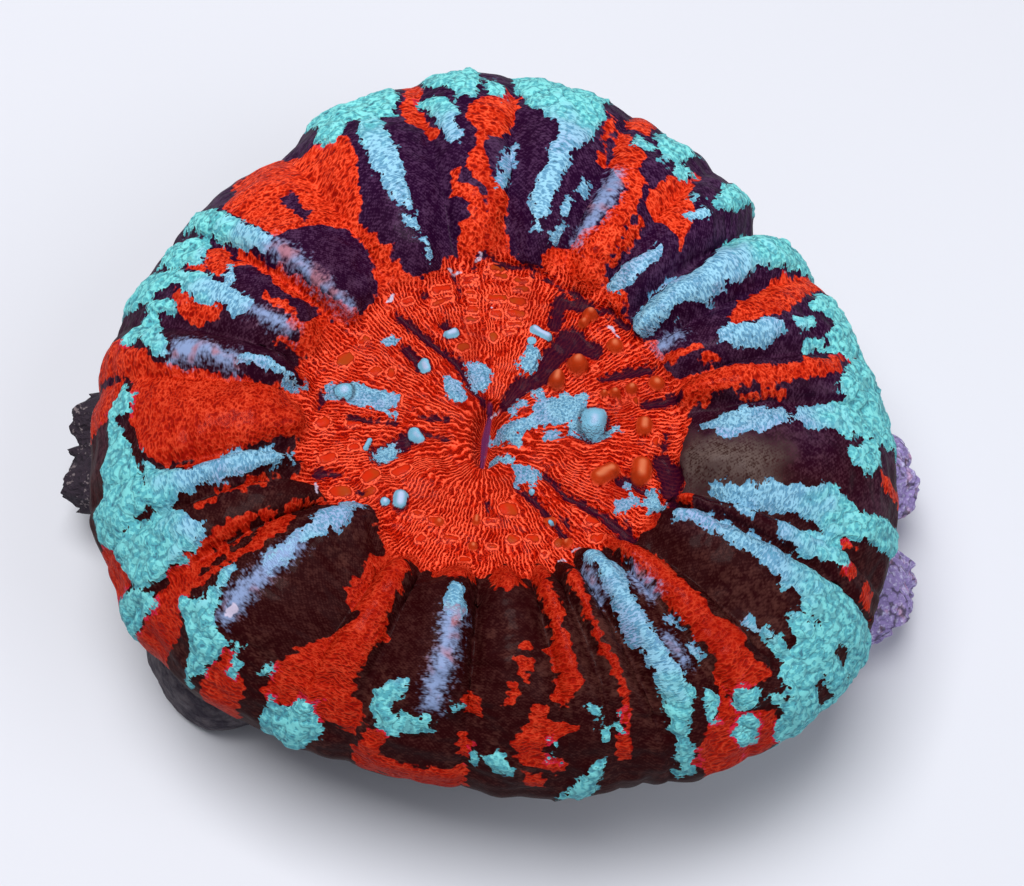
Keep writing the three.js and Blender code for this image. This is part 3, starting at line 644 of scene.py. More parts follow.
def make_piece(
    name: str, points: np.ndarray, faces: list[list[int]], values: dict[str, np.ndarray]
) -> bpy.types.Object:
    """A smooth mesh object at the origin, with its points in metres and its values as attributes.

    Args:
        name: the piece's name.
        points: n points in millimetres.
        faces: point numbers of each face.
        values: a value, or a vector, for each point by attribute name.
    Returns:
        The linked object.
    """
    mesh = bpy.data.meshes.new(name)
    mesh.from_pydata((points * MM).tolist(), [], faces)
    mesh.polygons.foreach_set("use_smooth", np.ones(len(mesh.polygons), bool))
    for key, value in values.items():
        is_vector = value.ndim == 2
        layer = mesh.attributes.new(key, "FLOAT_VECTOR" if is_vector else "FLOAT", "POINT")
        layer.data.foreach_set("vector" if is_vector else "value", value.astype(np.float32).ravel())
    mesh.update()
    piece = bpy.data.objects.new(name, mesh)
    bpy.context.scene.collection.objects.link(piece)
    return piece


class Sheet:
    """Short calls that lay the nodes of one material."""

    def __init__(self, name: str) -> None:
        """Starts an empty material whose surface is one Principled shader."""
        self.material = bpy.data.materials.new(name)
        self.material.use_nodes = True
        self.tree = self.material.node_tree
        self.shader = self.tree.nodes["Principled BSDF"]
        where = self.tree.nodes.new("ShaderNodeTexCoord").outputs["Object"]
        self.point = self.vector("SCALE", where, 1 / MM)

    def put(self, socket: Socket, value: Any) -> None:
        """Links another node's socket to this one, or sets this one's own value."""
        if isinstance(value, Socket):
            self.tree.links.new(value, socket)
        else:
            socket.default_value = value

    def attribute(self, name: str, output: str = "Fac") -> Socket:
        """The piece's own attribute of that name."""
        node = self.tree.nodes.new("ShaderNodeAttribute")
        node.attribute_name = name
        return node.outputs[output]

    def vector(self, operation: str, first: Any, second: Any = (0.0, 0.0, 0.0)) -> Socket:
        """A vector sum; SCALE takes a number as its second value, and LENGTH needs none."""
        node = self.tree.nodes.new("ShaderNodeVectorMath")
        node.operation = operation
        self.put(node.inputs[0], first)
        self.put(node.inputs["Scale" if operation == "SCALE" else 1], second)
        return node.outputs["Value" if operation == "LENGTH" else "Vector"]

    def number(self, operation: str, first: Any, second: Any = 0.0, third: Any = 0.0) -> Socket:
        """A sum of up to three numbers."""
        node = self.tree.nodes.new("ShaderNodeMath")
        node.operation = operation
        for socket, value in zip(node.inputs, (first, second, third)):
            self.put(socket, value)
        return node.outputs[0]

    def times(self, first: Any, second: Any) -> Socket:
        """The product of two numbers."""
        return self.number("MULTIPLY", first, second)

    def wave(self, shift: Any, along: Any, rate: float) -> Socket:
        """The sine of a coordinate times its rate, plus a shift."""
        return self.number("SINE", self.total(shift, (along, rate)))

    def total(self, first: Any, *terms: tuple[Any, float]) -> Socket:
        """The first value plus each term's value times its weight."""
        for value, weight in terms:
            first = self.number("MULTIPLY_ADD", value, weight, first)
        return first

    def step(self, value: Any, low: float, high: float) -> Socket:
        """The smooth step of a value from 0 at low to 1 at high."""
        node = self.tree.nodes.new("ShaderNodeMapRange")
        node.interpolation_type = "SMOOTHSTEP"
        for socket, setting in zip(node.inputs, (value, low, high, 0.0, 1.0)):
            self.put(socket, setting)
        return node.outputs[0]

    def noise(self, where: Any, scale: float, detail: float) -> Socket:
        """Soft noise about zero."""
        node = self.tree.nodes.new("ShaderNodeTexNoise")
        for key, value in (("Vector", where), ("Scale", scale), ("Detail", detail)):
            self.put(node.inputs[key], value)
        return self.number("SUBTRACT", node.outputs["Fac"], 0.5)

    def cells(self, where: Any, scale: float) -> Socket:
        """The distance to the nearest of scattered points, in steps of the scale."""
        node = self.tree.nodes.new("ShaderNodeTexVoronoi")
        self.put(node.inputs["Vector"], where)
        self.put(node.inputs["Scale"], scale)
        return node.outputs["Distance"]

    def mix(self, share: Any, first: Any, second: Any) -> Socket:
        """The first colour at share 0, the second at 1."""
        node = self.tree.nodes.new("ShaderNodeMix")
        node.data_type = "RGBA"
        for socket, value in ((0, share), (6, first), (7, second)):
            self.put(node.inputs[socket], value)
        return node.outputs[2]

    def veil(self, first: Any, second: Any, share: Any, strength: float) -> Socket:
        """The first colour, covered by the second as far as a share times a strength."""
        return self.mix(self.times(share, strength), first, second)

    def between(self, share: Any, first: Any, second: Any) -> Socket:
        """The first number at share 0, the second at 1."""
        node = self.tree.nodes.new("ShaderNodeMix")
        for socket, value in ((0, share), (2, first), (3, second)):
            self.put(node.inputs[socket], value)
        return node.outputs[0]

    def bump(self, height: Any, strength: float, distance: float) -> None:
        """Gives the shader a normal from a height; the distance is in millimetres."""
        node = self.tree.nodes.new("ShaderNodeBump")
        for key, value in (("Height", height), ("Strength", strength), ("Distance", distance * MM)):
            self.put(node.inputs[key], value)
        self.put(self.shader.inputs["Normal"], node.outputs["Normal"])

    def finish(self, **settings: Any) -> bpy.types.Material:
        """Sets the shader's sockets, with _ for a space in a name, and returns the material."""
        for key, value in settings.items():
            self.put(self.shader.inputs[key.replace("_", " ")], value)
        return self.material


class FleshSheet(Sheet):
    """The flesh's sheet, with the places, soft noises and shares that its markings have in common.

    Fields:
        about, along, reach: the point about the mouth, its way to the far side and its distance in plan.
        turn: the angle round the mouth, drawn in along the slit.
        length, disc, clumps, broad, pearls, warts: the skin's own attributes.
        teeth, grit, speckle: soft noises, coarse to fine; thread is zero along a net of fine lines.
        far_side_light_tint, near_painted_shade: 1 on the side away from the camera, and on the side near it;
            both lay painted light, a purple tint of the ground on the far side and painted shade on the near
            side of the ring.
        rim_share: 1 on the outer part of the ring.
        rings: the red crinkles of the ring, from -1 in a furrow to 1 on a thread.
    """

    def __init__(self, finish: "FleshFinish") -> None:
        """Lays the nodes that the markings share."""
        super().__init__("wet_coral_flesh")
        self.about = self.vector("SUBTRACT", self.point, (*finish.mouth, 0.0))
        parts = self.tree.nodes.new("ShaderNodeSeparateXYZ")
        self.put(parts.inputs[0], self.about)
        aside, self.along, _ = parts.outputs
        self.length, self.disc, self.clumps, self.broad, self.pearls, self.warts = (
            self.attribute(mark) for mark in (
                Mark.LENGTH, Mark.DISC, Mark.CLUMPS, Mark.BROAD, Mark.PEARL, Mark.WART))
        weave = self.attribute(Mark.WEAVE, "Vector")
        self.teeth, worm = (
            self.noise(self.vector("MULTIPLY", weave, scale), 1.0, 1.0)
            for scale in (finish.teeth_scale, finish.thread_scale))
        self.thread = self.number("ABSOLUTE", worm)
        self.grit = self.noise(self.about, finish.grit_scale, 1.0)
        self.speckle = self.noise(self.mix(
            self.disc, self.vector("MULTIPLY", weave, finish.ring_speckle_scale),
            self.vector("MULTIPLY", self.about, finish.disc_speckle_scale)), 1.0, 1.0)
        self.reach = self.vector("LENGTH", self.vector("MULTIPLY", self.about, (1.0, 1.0, 0.0)))
        slit = self.step(self.reach, *finish.slit_limits)
        self.turn = self.number(
            "ARCTAN2", self.times(self.along, self.total(1.0, (slit, -finish.slit_squeeze))),
            self.total(aside, (slit, finish.slit_aside)))
        # Painted light: 1 on the far side, where the ground is tinted purple, and 0 on the near side, tinted
        # brown.
        self.far_side_light_tint = self.step(self.total(self.along, (self.broad, 14.0)), *finish.far_tint_limits)
        # Painted shade: 1 on the near side of the ring, which is darkened as if the light fell less on it.
        self.near_painted_shade = self.step(self.total(self.along, (self.broad, 10.0)), *finish.near_shade_limits)
        self.rim_share = self.step(self.total(self.length, (self.clumps, 5.0)), *finish.rim_limits)
        self.rings = self.total(
            0.78, (self.thread, -7.5), (self.clumps, 0.9), (self.grit, 0.8), (self.speckle, 0.3))


@dataclass(frozen=True)
class FleshFinish:
    """The polyp's wet skin: crinkled red and granular teal markings over a dotted plum ground.

    Limits are the two ends of a smooth step, in millimetres from the mouth or along the section.
    """

    mouth: tuple[float, float]
    ray_bright: Colour = srgb(255, 94, 62)
    ray_middle: Colour = srgb(196, 34, 6)
    ray_furrow: Colour = srgb(120, 2, 0)
    ring_bright: Colour = srgb(255, 88, 52)
    ring_middle: Colour = srgb(200, 42, 14)
    ring_furrow: Colour = srgb(138, 14, 4)
    cell_floor: Colour = srgb(192, 38, 10)
    cell_olive: Colour = srgb(158, 58, 16)
    # The ground in two painted tints of light, purple on the far side and brown on the near side, with its
    # dots and haze likewise.
    purple: Colour = srgb(36, 5, 39)
    brown: Colour = srgb(38, 4, 6)
    purple_dot: Colour = srgb(74, 43, 76)
    brown_dot: Colour = srgb(60, 27, 25)
    haze: Colour = srgb(82, 60, 88)
    brown_haze: Colour = srgb(92, 54, 46)
    olive: Colour = srgb(94, 78, 74)
    olive_dot: Colour = srgb(50, 30, 26)
    ridge_bright: Colour = srgb(148, 202, 228)
    ridge_middle: Colour = srgb(98, 152, 186)
    rim_bright: Colour = srgb(132, 224, 224)
    rim_middle: Colour = srgb(90, 180, 190)
    # The colour of painted shade in the teal's pits and creases.
    teal_crease_shade: Colour = srgb(52, 84, 104)
    teal_shade: Colour = srgb(66, 112, 138)
    lavender: Colour = srgb(158, 178, 220)
    pale: Colour = srgb(142, 164, 208)
    blush: Colour = srgb(178, 122, 138)
    pearl: Colour = srgb(116, 178, 206)
    # A painted highlight on the crowns of the pearls.
    pearl_crown_highlight: Colour = srgb(172, 192, 226)
    wart: Colour = srgb(180, 56, 20)
    # A painted highlight on the tops of the warts.
    wart_tip_highlight: Colour = srgb(200, 108, 72)
    margin: Colour = srgb(206, 28, 74)
    # The dark of the valleys, partly their own colour and partly painted shade; also the painted shade round
    # the pearls' feet.
    valley: Colour = srgb(32, 2, 28)
    lips: Colour = srgb(112, 44, 92)
    fleck: Colour = srgb(200, 190, 214)
    ray_counts: tuple[int, int, int, int] = (36, 90, 170, 260)
    ray_limits: tuple[float, float, float] = (2.8, 5.6, 9.0)
    ray_blend: float = 0.6
    slit_limits: Limits = (5.0, 0.5)
    slit_aside: float = 0.35
    slit_squeeze: float = 0.6
    # Ends of the far side's painted purple tint, then of the near side's painted shade.
    far_tint_limits: Limits = (-10.0, 18.0)
    near_shade_limits: Limits = (18.0, -12.0)
    rim_limits: Limits = (20.5, 25.0)
    margin_limits: Limits = (22.5, 26.0)
    dot_count: int = 420
    dot_step: float = 0.27
    teeth_scale: Scale = (0.8, 0.8, 1.6)
    thread_scale: Scale = (2.5, 2.5, 3.7)
    ring_speckle_scale: Scale = (3.0, 3.0, 7.5)
    disc_speckle_scale: Scale = (6.5, 6.5, 6.5)
    grit_scale: float = 2.8
    haze_strength: float = 0.32
    # Strength of the painted shade on the near side of the red ring.
    near_red_shade_strength: float = 0.6
    red_shade_strength: float = 0.5
    # Strengths of the painted shade in the teal's pits and in the creases between its lobules.
    pit_shade_strength: float = 0.7
    crease_shade_strength: float = 0.45
    # Strength of the painted shade on the near side of the teal.
    near_teal_shade_strength: float = 0.25
    margin_strength: float = 0.6
    pale_strength: float = 0.8
    # Strength of the valleys' dark, partly painted shade.
    valley_and_shade_strength: float = 0.95
    wart_strength: float = 0.9
    # Strength of the painted shade round the feet of the pearls.
    foot_shade_strength: float = 0.6
    pearl_strength: float = 0.92
    bump_strength: float = 0.6
    bump_height: float = 0.14
    roughness: float = 0.56
    specular: float = 0.035
    coat: float = 0.025
    coat_roughness: float = 0.14

    @staticmethod
    def shaded(sheet: Sheet, value: Any, low: Colour, middle: Colour, high: Colour) -> Socket:
        """Three colours over a value of -1 to 1."""
        upper = sheet.mix(sheet.step(value, 0.15, 1.0), middle, high)
        return sheet.mix(sheet.step(value, -0.8, 0.25), low, upper)

    def rays(self, sheet: FleshSheet) -> Socket:
        """The red crinkles of the disc, from -1 in a furrow to 1 on a thread.

        They are sines of whole numbers of turns round the mouth, swayed by soft noise. There are more of
        them further from the mouth, so that they stay about as close, and fine threads join them.
        """
        sway = sheet.total(sheet.attribute(Mark.BEND), (sheet.grit, 7.5), (sheet.clumps, 6.0))
        radius = sheet.total(sheet.reach, (sheet.clumps, 4.0))
        rays, *others = (sheet.wave(sway, sheet.turn, float(count)) for count in self.ray_counts)
        for limit, closer in zip(self.ray_limits, others):
            share = sheet.step(radius, limit - self.ray_blend, limit + self.ray_blend)
            rays = sheet.between(share, rays, closer)
        lines = sheet.total(-0.4, (rays, 1.3), (sheet.grit, 2.2), (sheet.clumps, 1.2))
        links = sheet.total(0.6, (sheet.thread, -17.0), (sheet.clumps, 1.0))
        return sheet.number("MAXIMUM", lines, links)

    def ground(self, sheet: FleshSheet) -> Socket:
        """Plum on the far side and brown on the near one, a painted tint for how the light falls, with rows
        of dots, haze and an olive patch.
        """
        shake = sheet.times(sheet.grit, 9.0)
        columns = sheet.wave(shake, sheet.turn, float(self.dot_count))
        rows = sheet.wave(shake, sheet.length, 2 * math.pi / self.dot_step)
        dots = sheet.step(sheet.times(columns, rows), -0.2, 0.5)
        dotted = sheet.step(sheet.total(
            sheet.times(dots, 0.35), (sheet.speckle, 1.4), (sheet.grit, 1.0), (sheet.clumps, 0.8),
            (sheet.rings, 0.2)), -0.1, 0.8)
        # Painted light: purple ground and dots on the far side, brown on the near side.
        ground = sheet.mix(
            dotted, sheet.mix(sheet.far_side_light_tint, self.brown, self.purple),
            sheet.mix(sheet.far_side_light_tint, self.brown_dot, self.purple_dot))
        hazy = sheet.step(sheet.total(
            sheet.broad, (sheet.grit, 0.6), (sheet.clumps, 0.5), (sheet.speckle, 0.4)), 0.0, 0.4)
        # The haze takes the same painted tint of its side.
        haze = sheet.mix(sheet.far_side_light_tint, self.brown_haze, self.haze)
        ground = sheet.veil(ground, haze, hazy, self.haze_strength)
        patch = sheet.step(sheet.total(sheet.attribute(Mark.OLIVE), (sheet.clumps, 2.5)), -1.5, 2.0)
        return sheet.mix(patch, ground, sheet.mix(dotted, self.olive, self.olive_dot))

    def red(self, sheet: FleshSheet, rays: Socket, cell: Socket, cell_share: Socket) -> Socket:
        """The crinkled red, on the ring and on the disc with its outlined cells.

        Args:
            sheet: the flesh's sheet.
            rays: the crinkles of the disc.
            cell, cell_share: the depth inside a cell, and 1 in it.
        Returns:
            The colour.
        """
        line = sheet.times(
            sheet.step(sheet.number("ABSOLUTE", cell), 0.1, 0.03), sheet.step(sheet.speckle, -0.2, 0.05))
        tint = sheet.step(sheet.total(sheet.broad, (sheet.clumps, 0.6)), -0.05, 0.2)
        disc = self.shaded(sheet, rays, self.ray_furrow, self.ray_middle, self.ray_bright)
        disc = sheet.mix(line, sheet.mix(cell_share, disc, self.ring_furrow), self.ray_bright)
        floor = sheet.mix(tint, self.cell_floor, self.cell_olive)
        disc = sheet.mix(sheet.step(cell, 0.07, 0.18), disc, floor)
        ring = self.shaded(sheet, sheet.rings, self.ring_furrow, self.ring_middle, self.ring_bright)
        # Painted shade: the near side of the ring darkened toward the furrow red.
        ring = sheet.veil(ring, self.ring_furrow, sheet.near_painted_shade, self.near_red_shade_strength)
        red = sheet.mix(sheet.disc, ring, disc)
        shade = sheet.step(sheet.broad, 0.0, 0.3)
        return sheet.veil(red, self.ring_furrow, shade, self.red_shade_strength)

    def teal(self, sheet: FleshSheet) -> tuple[Socket, Socket]:
        """The granular teal, bluer on the ridges and greener on the rim, with painted highlights and shade on
        its granules and painted shade in its pits and in the creases between the rim's lobules.

        Args:
            sheet: the flesh's sheet.
        Returns:
            The colour, and 1 down between the granules.
        """
        granule = sheet.between(
            sheet.rim_share,
            sheet.total(0.0, (sheet.speckle, 1.7), (sheet.clumps, 0.4), (sheet.grit, 0.6)),
            sheet.total(0.0, (sheet.speckle, 0.5), (sheet.clumps, 0.5), (sheet.grit, 1.9)))
        # Granules lighter where the bump is raised and darker where it dips: partly their own mottle, partly
        # painted highlight and shade.
        low = sheet.step(granule, -0.16, 0.22)
        tint = sheet.step(sheet.total(sheet.broad, (sheet.clumps, 0.5)), -0.05, 0.25)
        ridge = sheet.mix(tint, self.ridge_bright, self.lavender)
        teal = sheet.mix(
            low, sheet.mix(sheet.rim_share, ridge, self.rim_bright),
            sheet.mix(sheet.rim_share, self.ridge_middle, self.rim_middle))
        # Painted shade in the deepest pits between the granules.
        teal = sheet.veil(teal, self.teal_crease_shade, sheet.step(granule, 0.28, 0.48), self.pit_shade_strength)
        # Painted shade in the creases between the rim's lobules, where the relief dips.
        lobule_crease_shade = sheet.step(sheet.number("ABSOLUTE", sheet.clumps), 0.045, 0.012)
        teal = sheet.veil(teal, self.teal_crease_shade, sheet.times(lobule_crease_shade, sheet.rim_share), self.crease_shade_strength)
        # Painted shade: the near side darkened toward the teal shade colour.
        return sheet.veil(teal, self.teal_shade, sheet.near_painted_shade, self.near_teal_shade_strength), low

    def tops(self, sheet: FleshSheet, skin: Socket, wart_share: Socket, pearl_share: Socket) -> Socket:
        """Lays the warts with painted highlights on their tops, the pearls with painted highlights on their
        crowns and painted shade round their feet, the lips and the flecks over the skin.

        Args:
            sheet: the flesh's sheet.
            skin: the colour so far.
            wart_share, pearl_share: 1 on a wart and on a pearl.
        Returns:
            The colour with them.
        """
        # Painted highlight: the middle of each wart, its top, is lighter.
        wart = sheet.mix(sheet.step(sheet.warts, 0.45, 0.95), self.wart, self.wart_tip_highlight)
        skin = sheet.veil(skin, wart, wart_share, self.wart_strength)
        # Painted shade: a dark ring round the foot of each pearl, in the valley colour.
        skin = sheet.veil(skin, self.valley, sheet.step(sheet.pearls, -0.35, -0.05), self.foot_shade_strength)
        # Painted highlight: the crown of each pearl is lighter, patchy by soft noise.
        crown_highlight = sheet.step(sheet.total(sheet.pearls, (sheet.broad, 1.5)), 0.45, 1.0)
        pearl = sheet.mix(crown_highlight, self.pearl, self.pearl_crown_highlight)
        skin = sheet.veil(skin, pearl, pearl_share, self.pearl_strength)
        skin = sheet.mix(sheet.step(sheet.attribute(Mark.LIPS), -0.08, 0.05), skin, self.lips)
        fleck = sheet.total(sheet.attribute(Mark.FLECK), (sheet.grit, 0.4))
        return sheet.mix(sheet.step(fleck, -0.06, 0.06), skin, self.fleck)

    def material(self) -> bpy.types.Material:
        """Lays the markings over each other, each with a ragged edge, from plum up to the white flecks."""
        sheet = FleshSheet(self)
        rays = self.rays(sheet)
        red_share = sheet.step(sheet.total(
            sheet.attribute(Mark.RED), (sheet.teeth, 1.2), (sheet.grit, 0.5)), -0.07, 0.07)
        teal_depth = sheet.total(
            sheet.attribute(Mark.TEAL), (sheet.clumps, 1.3), (sheet.grit, 0.9), (sheet.speckle, 0.5))
        teal_share = sheet.step(teal_depth, -0.05, 0.05)
        cell = sheet.total(sheet.attribute(Mark.CELL), (sheet.grit, 0.35), (sheet.clumps, 0.25))
        cell_share = sheet.step(cell, -0.14, -0.06)
        valley = sheet.total(sheet.attribute(Mark.VALLEY), (sheet.grit, 1.0), (sheet.clumps, 0.6))
        valley_and_shade_share = sheet.times(
            sheet.step(valley, -0.12, 0.14), sheet.number("SUBTRACT", 1.0, teal_share))
        wart_share = sheet.step(sheet.warts, -0.05, 0.2)
        pearl = sheet.total(sheet.pearls, (sheet.clumps, 0.6), (sheet.grit, 0.5))
        pearl_share = sheet.step(pearl, -0.05, 0.15)
        pale = sheet.total(sheet.attribute(Mark.PALE), (sheet.grit, 1.5), (sheet.speckle, 1.2))

        skin = sheet.mix(red_share, self.ground(sheet), self.red(sheet, rays, cell, cell_share))
        hem = sheet.times(
            sheet.step(sheet.length, *self.margin_limits),
            sheet.step(sheet.number("ABSOLUTE", sheet.number("ADD", teal_depth, 0.1)), 0.16, 0.06))
        skin = sheet.veil(skin, self.margin, sheet.times(hem, red_share), self.margin_strength)
        teal, low = self.teal(sheet)
        skin = sheet.mix(teal_share, skin, teal)
        tint = sheet.mix(sheet.step(sheet.clumps, 0.0, 0.25), self.pale, self.blush)
        skin = sheet.veil(skin, tint, sheet.step(pale, -0.5, 0.6), self.pale_strength)
        # The valleys darkened nearly black: partly their own colour, partly painted shade.
        skin = sheet.veil(skin, self.valley, valley_and_shade_share, self.valley_and_shade_strength)
        skin = self.tops(sheet, skin, wart_share, pearl_share)

        smooth = sheet.times(cell_share, sheet.disc)
        for share in (valley_and_shade_share, wart_share, pearl_share):
            smooth = sheet.number("MAXIMUM", smooth, share)
        plain = sheet.number("SUBTRACT", 1.0, smooth)
        crinkle = sheet.times(sheet.between(sheet.disc, sheet.rings, rays), sheet.times(red_share, plain))
        height = sheet.total(
            0.0, (crinkle, 0.45), (sheet.times(low, teal_share), -0.6), (sheet.times(sheet.grit, plain), 0.5))
        sheet.bump(height, self.bump_strength, self.bump_height)
        return sheet.finish(
            Base_Color=skin, Roughness=sheet.total(self.roughness, (sheet.clumps, 0.25)),
            Specular_IOR_Level=self.specular, Coat_Weight=self.coat, Coat_Roughness=self.coat_roughness)


@dataclass(frozen=True)
class StoneFinish:
    """The skeleton's wall: grey-olive stone with dark crumbly growth and lavender crust."""

    stone: Colour = srgb(88, 80, 86)
    stone_shade: Colour = srgb(50, 42, 54)
    knob: Colour = srgb(48, 38, 50)
    knob_tip: Colour = srgb(124, 112, 116)
    coralline: Colour = srgb(152, 134, 192)
    coralline_tip: Colour = srgb(204, 198, 236)
    coralline_pink: Colour = srgb(202, 156, 194)
    coarse_scale: float = 0.9
    fine_scale: float = 3.5
    pit_scale: float = 2.2
    growth_limits: Limits = (0.3, 0.5)
    # Strength of the painted shade in the crust's crevices.
    crevice_shade_strength: float = 0.75
    bump_strength: float = 0.8
    bump_height: float = 0.3
    roughness: float = 0.85
    specular: float = 0.3

    def material(self) -> bpy.types.Material:
        """Mixes the stone with its two growths by the wall's own attributes and soft noise."""
        sheet = Sheet("stony_skeleton")
        coarse = sheet.noise(sheet.point, self.coarse_scale, 4.0)
        fine = sheet.noise(sheet.point, self.fine_scale, 3.0)
        pits = sheet.cells(sheet.point, self.pit_scale)
        stone = sheet.mix(sheet.step(coarse, -0.12, 0.12), self.stone, self.stone_shade)
        knob = sheet.mix(sheet.step(sheet.total(fine, (coarse, 0.6)), 0.1, 0.2), self.knob, self.knob_tip)
        grains = sheet.step(sheet.total(fine, (coarse, 0.5)), -0.05, 0.2)
        coralline = sheet.mix(grains, self.coralline, self.coralline_tip)
        coralline = sheet.mix(sheet.step(coarse, 0.02, 0.2), coralline, self.coralline_pink)
        # Painted shade: the crust darkened toward the stone shade along the cell edges of its pits, as if in
        # crevices.
        stone_crevice_shade = sheet.step(sheet.total(pits, (coarse, 0.8)), 0.55, 0.85)
        coralline = sheet.veil(coralline, self.stone_shade, stone_crevice_shade, self.crevice_shade_strength)
        knob_share, crust_share = (
            sheet.step(sheet.total(sheet.attribute(crust), (coarse, 1.2)), *self.growth_limits)
            for crust in (Crust.KNOB, Crust.CORALLINE))
        colour = sheet.mix(crust_share, sheet.mix(knob_share, stone, knob), coralline)
        sheet.bump(sheet.total(pits, (fine, 1.2)), self.bump_strength, self.bump_height)
        roughness = sheet.total(self.roughness, (fine, 0.2))
        return sheet.finish(Base_Color=colour, Roughness=roughness, Specular_IOR_Level=self.specular)


@dataclass
class Polyp:
    """The flesh: mouth, oral disc and lobed ring in one closed skin."""

    mouth: tuple[float, float] = (0.15, -4.65)
    section: Section = field(default_factory=lambda: Section((
        (0, 17.6), (4, 17.8), (8, 17.95), (10.6, 18), (11.6, 18.2), (12.3, 18.9), (12.9, 19.6), (14, 20.1),
        (16, 20.35), (18.5, 20.2), (20.8, 19.6), (22.8, 18.7), (24.6, 17.4), (26.1, 15.6), (27, 13.6),
        (26.9, 12), (25.9, 10.5), (24.2, 9.4), (22, 9))))
    lobes: tuple[Lobe, ...] = (
        Lobe(13, 28.5, 18, 27.9, 0.9, 12.6), Lobe(23, 28.2, 28.5, 27.8, 1.5, 13),
        Lobe(38, 28.2, 44, 27.9, 2.2, 12.2), Lobe(49.5, 27, 55, 28.7, 1.5, 12.8),
        Lobe(61.5, 29.7, 68, 29.9, 1.1, 12.5), Lobe(75.5, 31.2, 84.5, 31.3, 2, 12.6),
        Lobe(93, 32.3, 100, 32.3, 0.9, 13), Lobe(107.5, 32, 117, 30.7, 2, 12.3),
        Lobe(129.5, 29.2, 145.5, 28.4, 1.9, 12.2), Lobe(150, 28.6, 159, 27.7, 1.3, 13.5),
        Lobe(167.5, 28, 172.5, 27.7, 1.3, 13), Lobe(177.5, 27.5, 187, 27, 1, 12.5),
        Lobe(195.5, 27.4, 199.5, 27, 1.5, 13.3), Lobe(204, 27, 209, 26.6, 0.7, 12.8),
        Lobe(214, 26.8, 222.5, 25.7, 2.3, 9.9), Lobe(243, 24.2, 247.5, 23.4, 0.9, 11),
        Lobe(253, 23.4, 266, 22.7, 1.9, 10.2), Lobe(272, 23.1, 281, 23.3, 1.6, 10),
        Lobe(289, 24.1, 293, 24.1, 0.8, 10.2), Lobe(297, 24.5, 300.5, 24.5, 0.9, 10.4),
        Lobe(304, 25.4, 309, 26, 1.7, 10.2), Lobe(316, 27, 320.5, 27.2, 0.8, 10.6),
        Lobe(325, 28.1, 337.5, 28.3, 2, 12), Lobe(341.5, 28.4, 344, 28, 0.6, 12.6),
        Lobe(346.5, 28.2, 357, 28.1, 2, 12.8))
    pearls: tuple[Bump, ...] = (
        Bump(6.7, 1.7, 0.95, 0.7, 0, 0.2), Bump(-5, -0.85, 0.46, 0.4, -0.15, 0.15),
        Bump(-5.4, -5.8, 0.48, 0.5, 0, 0.3), Bump(-6.4, -6.1, 0.32, 0.3),
        Bump(2.5, 8.1, 0.3, 0.4, 0.5, -0.25), Bump(1.9, 7.4, 0.3, 0.2), Bump(-3.6, 7.2, 0.38, 0.4, 0.15, 0.1),
        Bump(-10.2, 1.7, 0.65, 0.35), Bump(-8.1, -2, 0.18, 0.3, 0.1, 0.3), Bump(3.1, -3.9, 0.2, 0.2),
        Bump(-5.1, 4.5, 0.38, 0.35, 0.1, -0.2), Bump(4.6, -6.2, 0.2, 0.3))
    warts: tuple[Bump, ...] = (
        Bump(3.9, 4.5, 0.6, 1.2, 0, 0.2), Bump(5.2, 5.8, 0.8, 1.4), Bump(5.7, 9.9, 0.6, 1),
        Bump(5.3, 9.2, 0.4, 0.6), Bump(7.6, 7.7, 0.62, 0.7), Bump(7.9, 4, 0.42, 0.7), Bump(9, 4.5, 0.45, 0.7),
        Bump(7.2, 3.9, 0.3, 0.5), Bump(10.7, 5.2, 0.6, 0.5), Bump(10.1, 1.8, 0.58, 0.7, 0, 0.2),
        Bump(7.8, -2.1, 0.6, 0.6, 0.4, 0.35), Bump(10.2, -1.5, 0.72, 0.6, 0, 0.35), Bump(4.5, -6, 0.45, 0.4),
        Bump(-2.7, -7.1, 0.35, 0.4), Bump(-0.3, -6.6, 0.25, 0.4, 0, 0.2), Bump(-0.3, -8.5, 0.35, 0.4),
        Bump(5.8, -7.5, 0.4, 0.5))
    mounds: tuple[Bump, ...] = (
        Bump(5.8, -1.8, 2.0, 0.35), Bump(-3.7, -3.8, 1.4, 0.3), Bump(1.6, -5.5, 1.3, 0.25),
        Bump(-6.9, -5, 1.2, 0.25), Bump(-0.5, 10, 1.0, 0.15), Bump(8.2, 3.4, 1.2, 0.2))
    columns: int = 704
    mouth_half_width: float = 0.15
    mouth_half_length: float = 2.2
    mouth_aside: float = -0.35
    mouth_depth: float = 1.6
    weave_radius: float = 20.0
    wall_start: float = 27.8
    wall_tilt: float = 2.3
    wall_stretch: float = 0.6
    wall_ragged: float = 0.8
    fall_limits: Limits = (21, 29)
    seat_limits: Limits = (29, 37)
    rim_limits: Limits = (20.5, 25)
    teal_height: float = 0.1
    lobule_height: float = 0.16
    pale_height: float = 0.15
    valley_depth: float = 0.42
    cell_height: float = 0.12

    def grid(self) -> SkinGrid:
        """Four belts, whose columns double outwards, and wider rows under the edge."""
        whole = self.section.whole
        ring = np.concatenate([
            np.arange(8.0, 13.0, 0.15), np.arange(13.1, 31.2, 0.23), np.linspace(31.4, whole, 9)])
        return SkinGrid([
            (np.arange(0.0, 2.4, 0.19), self.columns // 8), (np.arange(2.45, 4.6, 0.17), self.columns // 4),
            (np.arange(4.7, 7.9, 0.15), self.columns // 2), (ring, self.columns)])

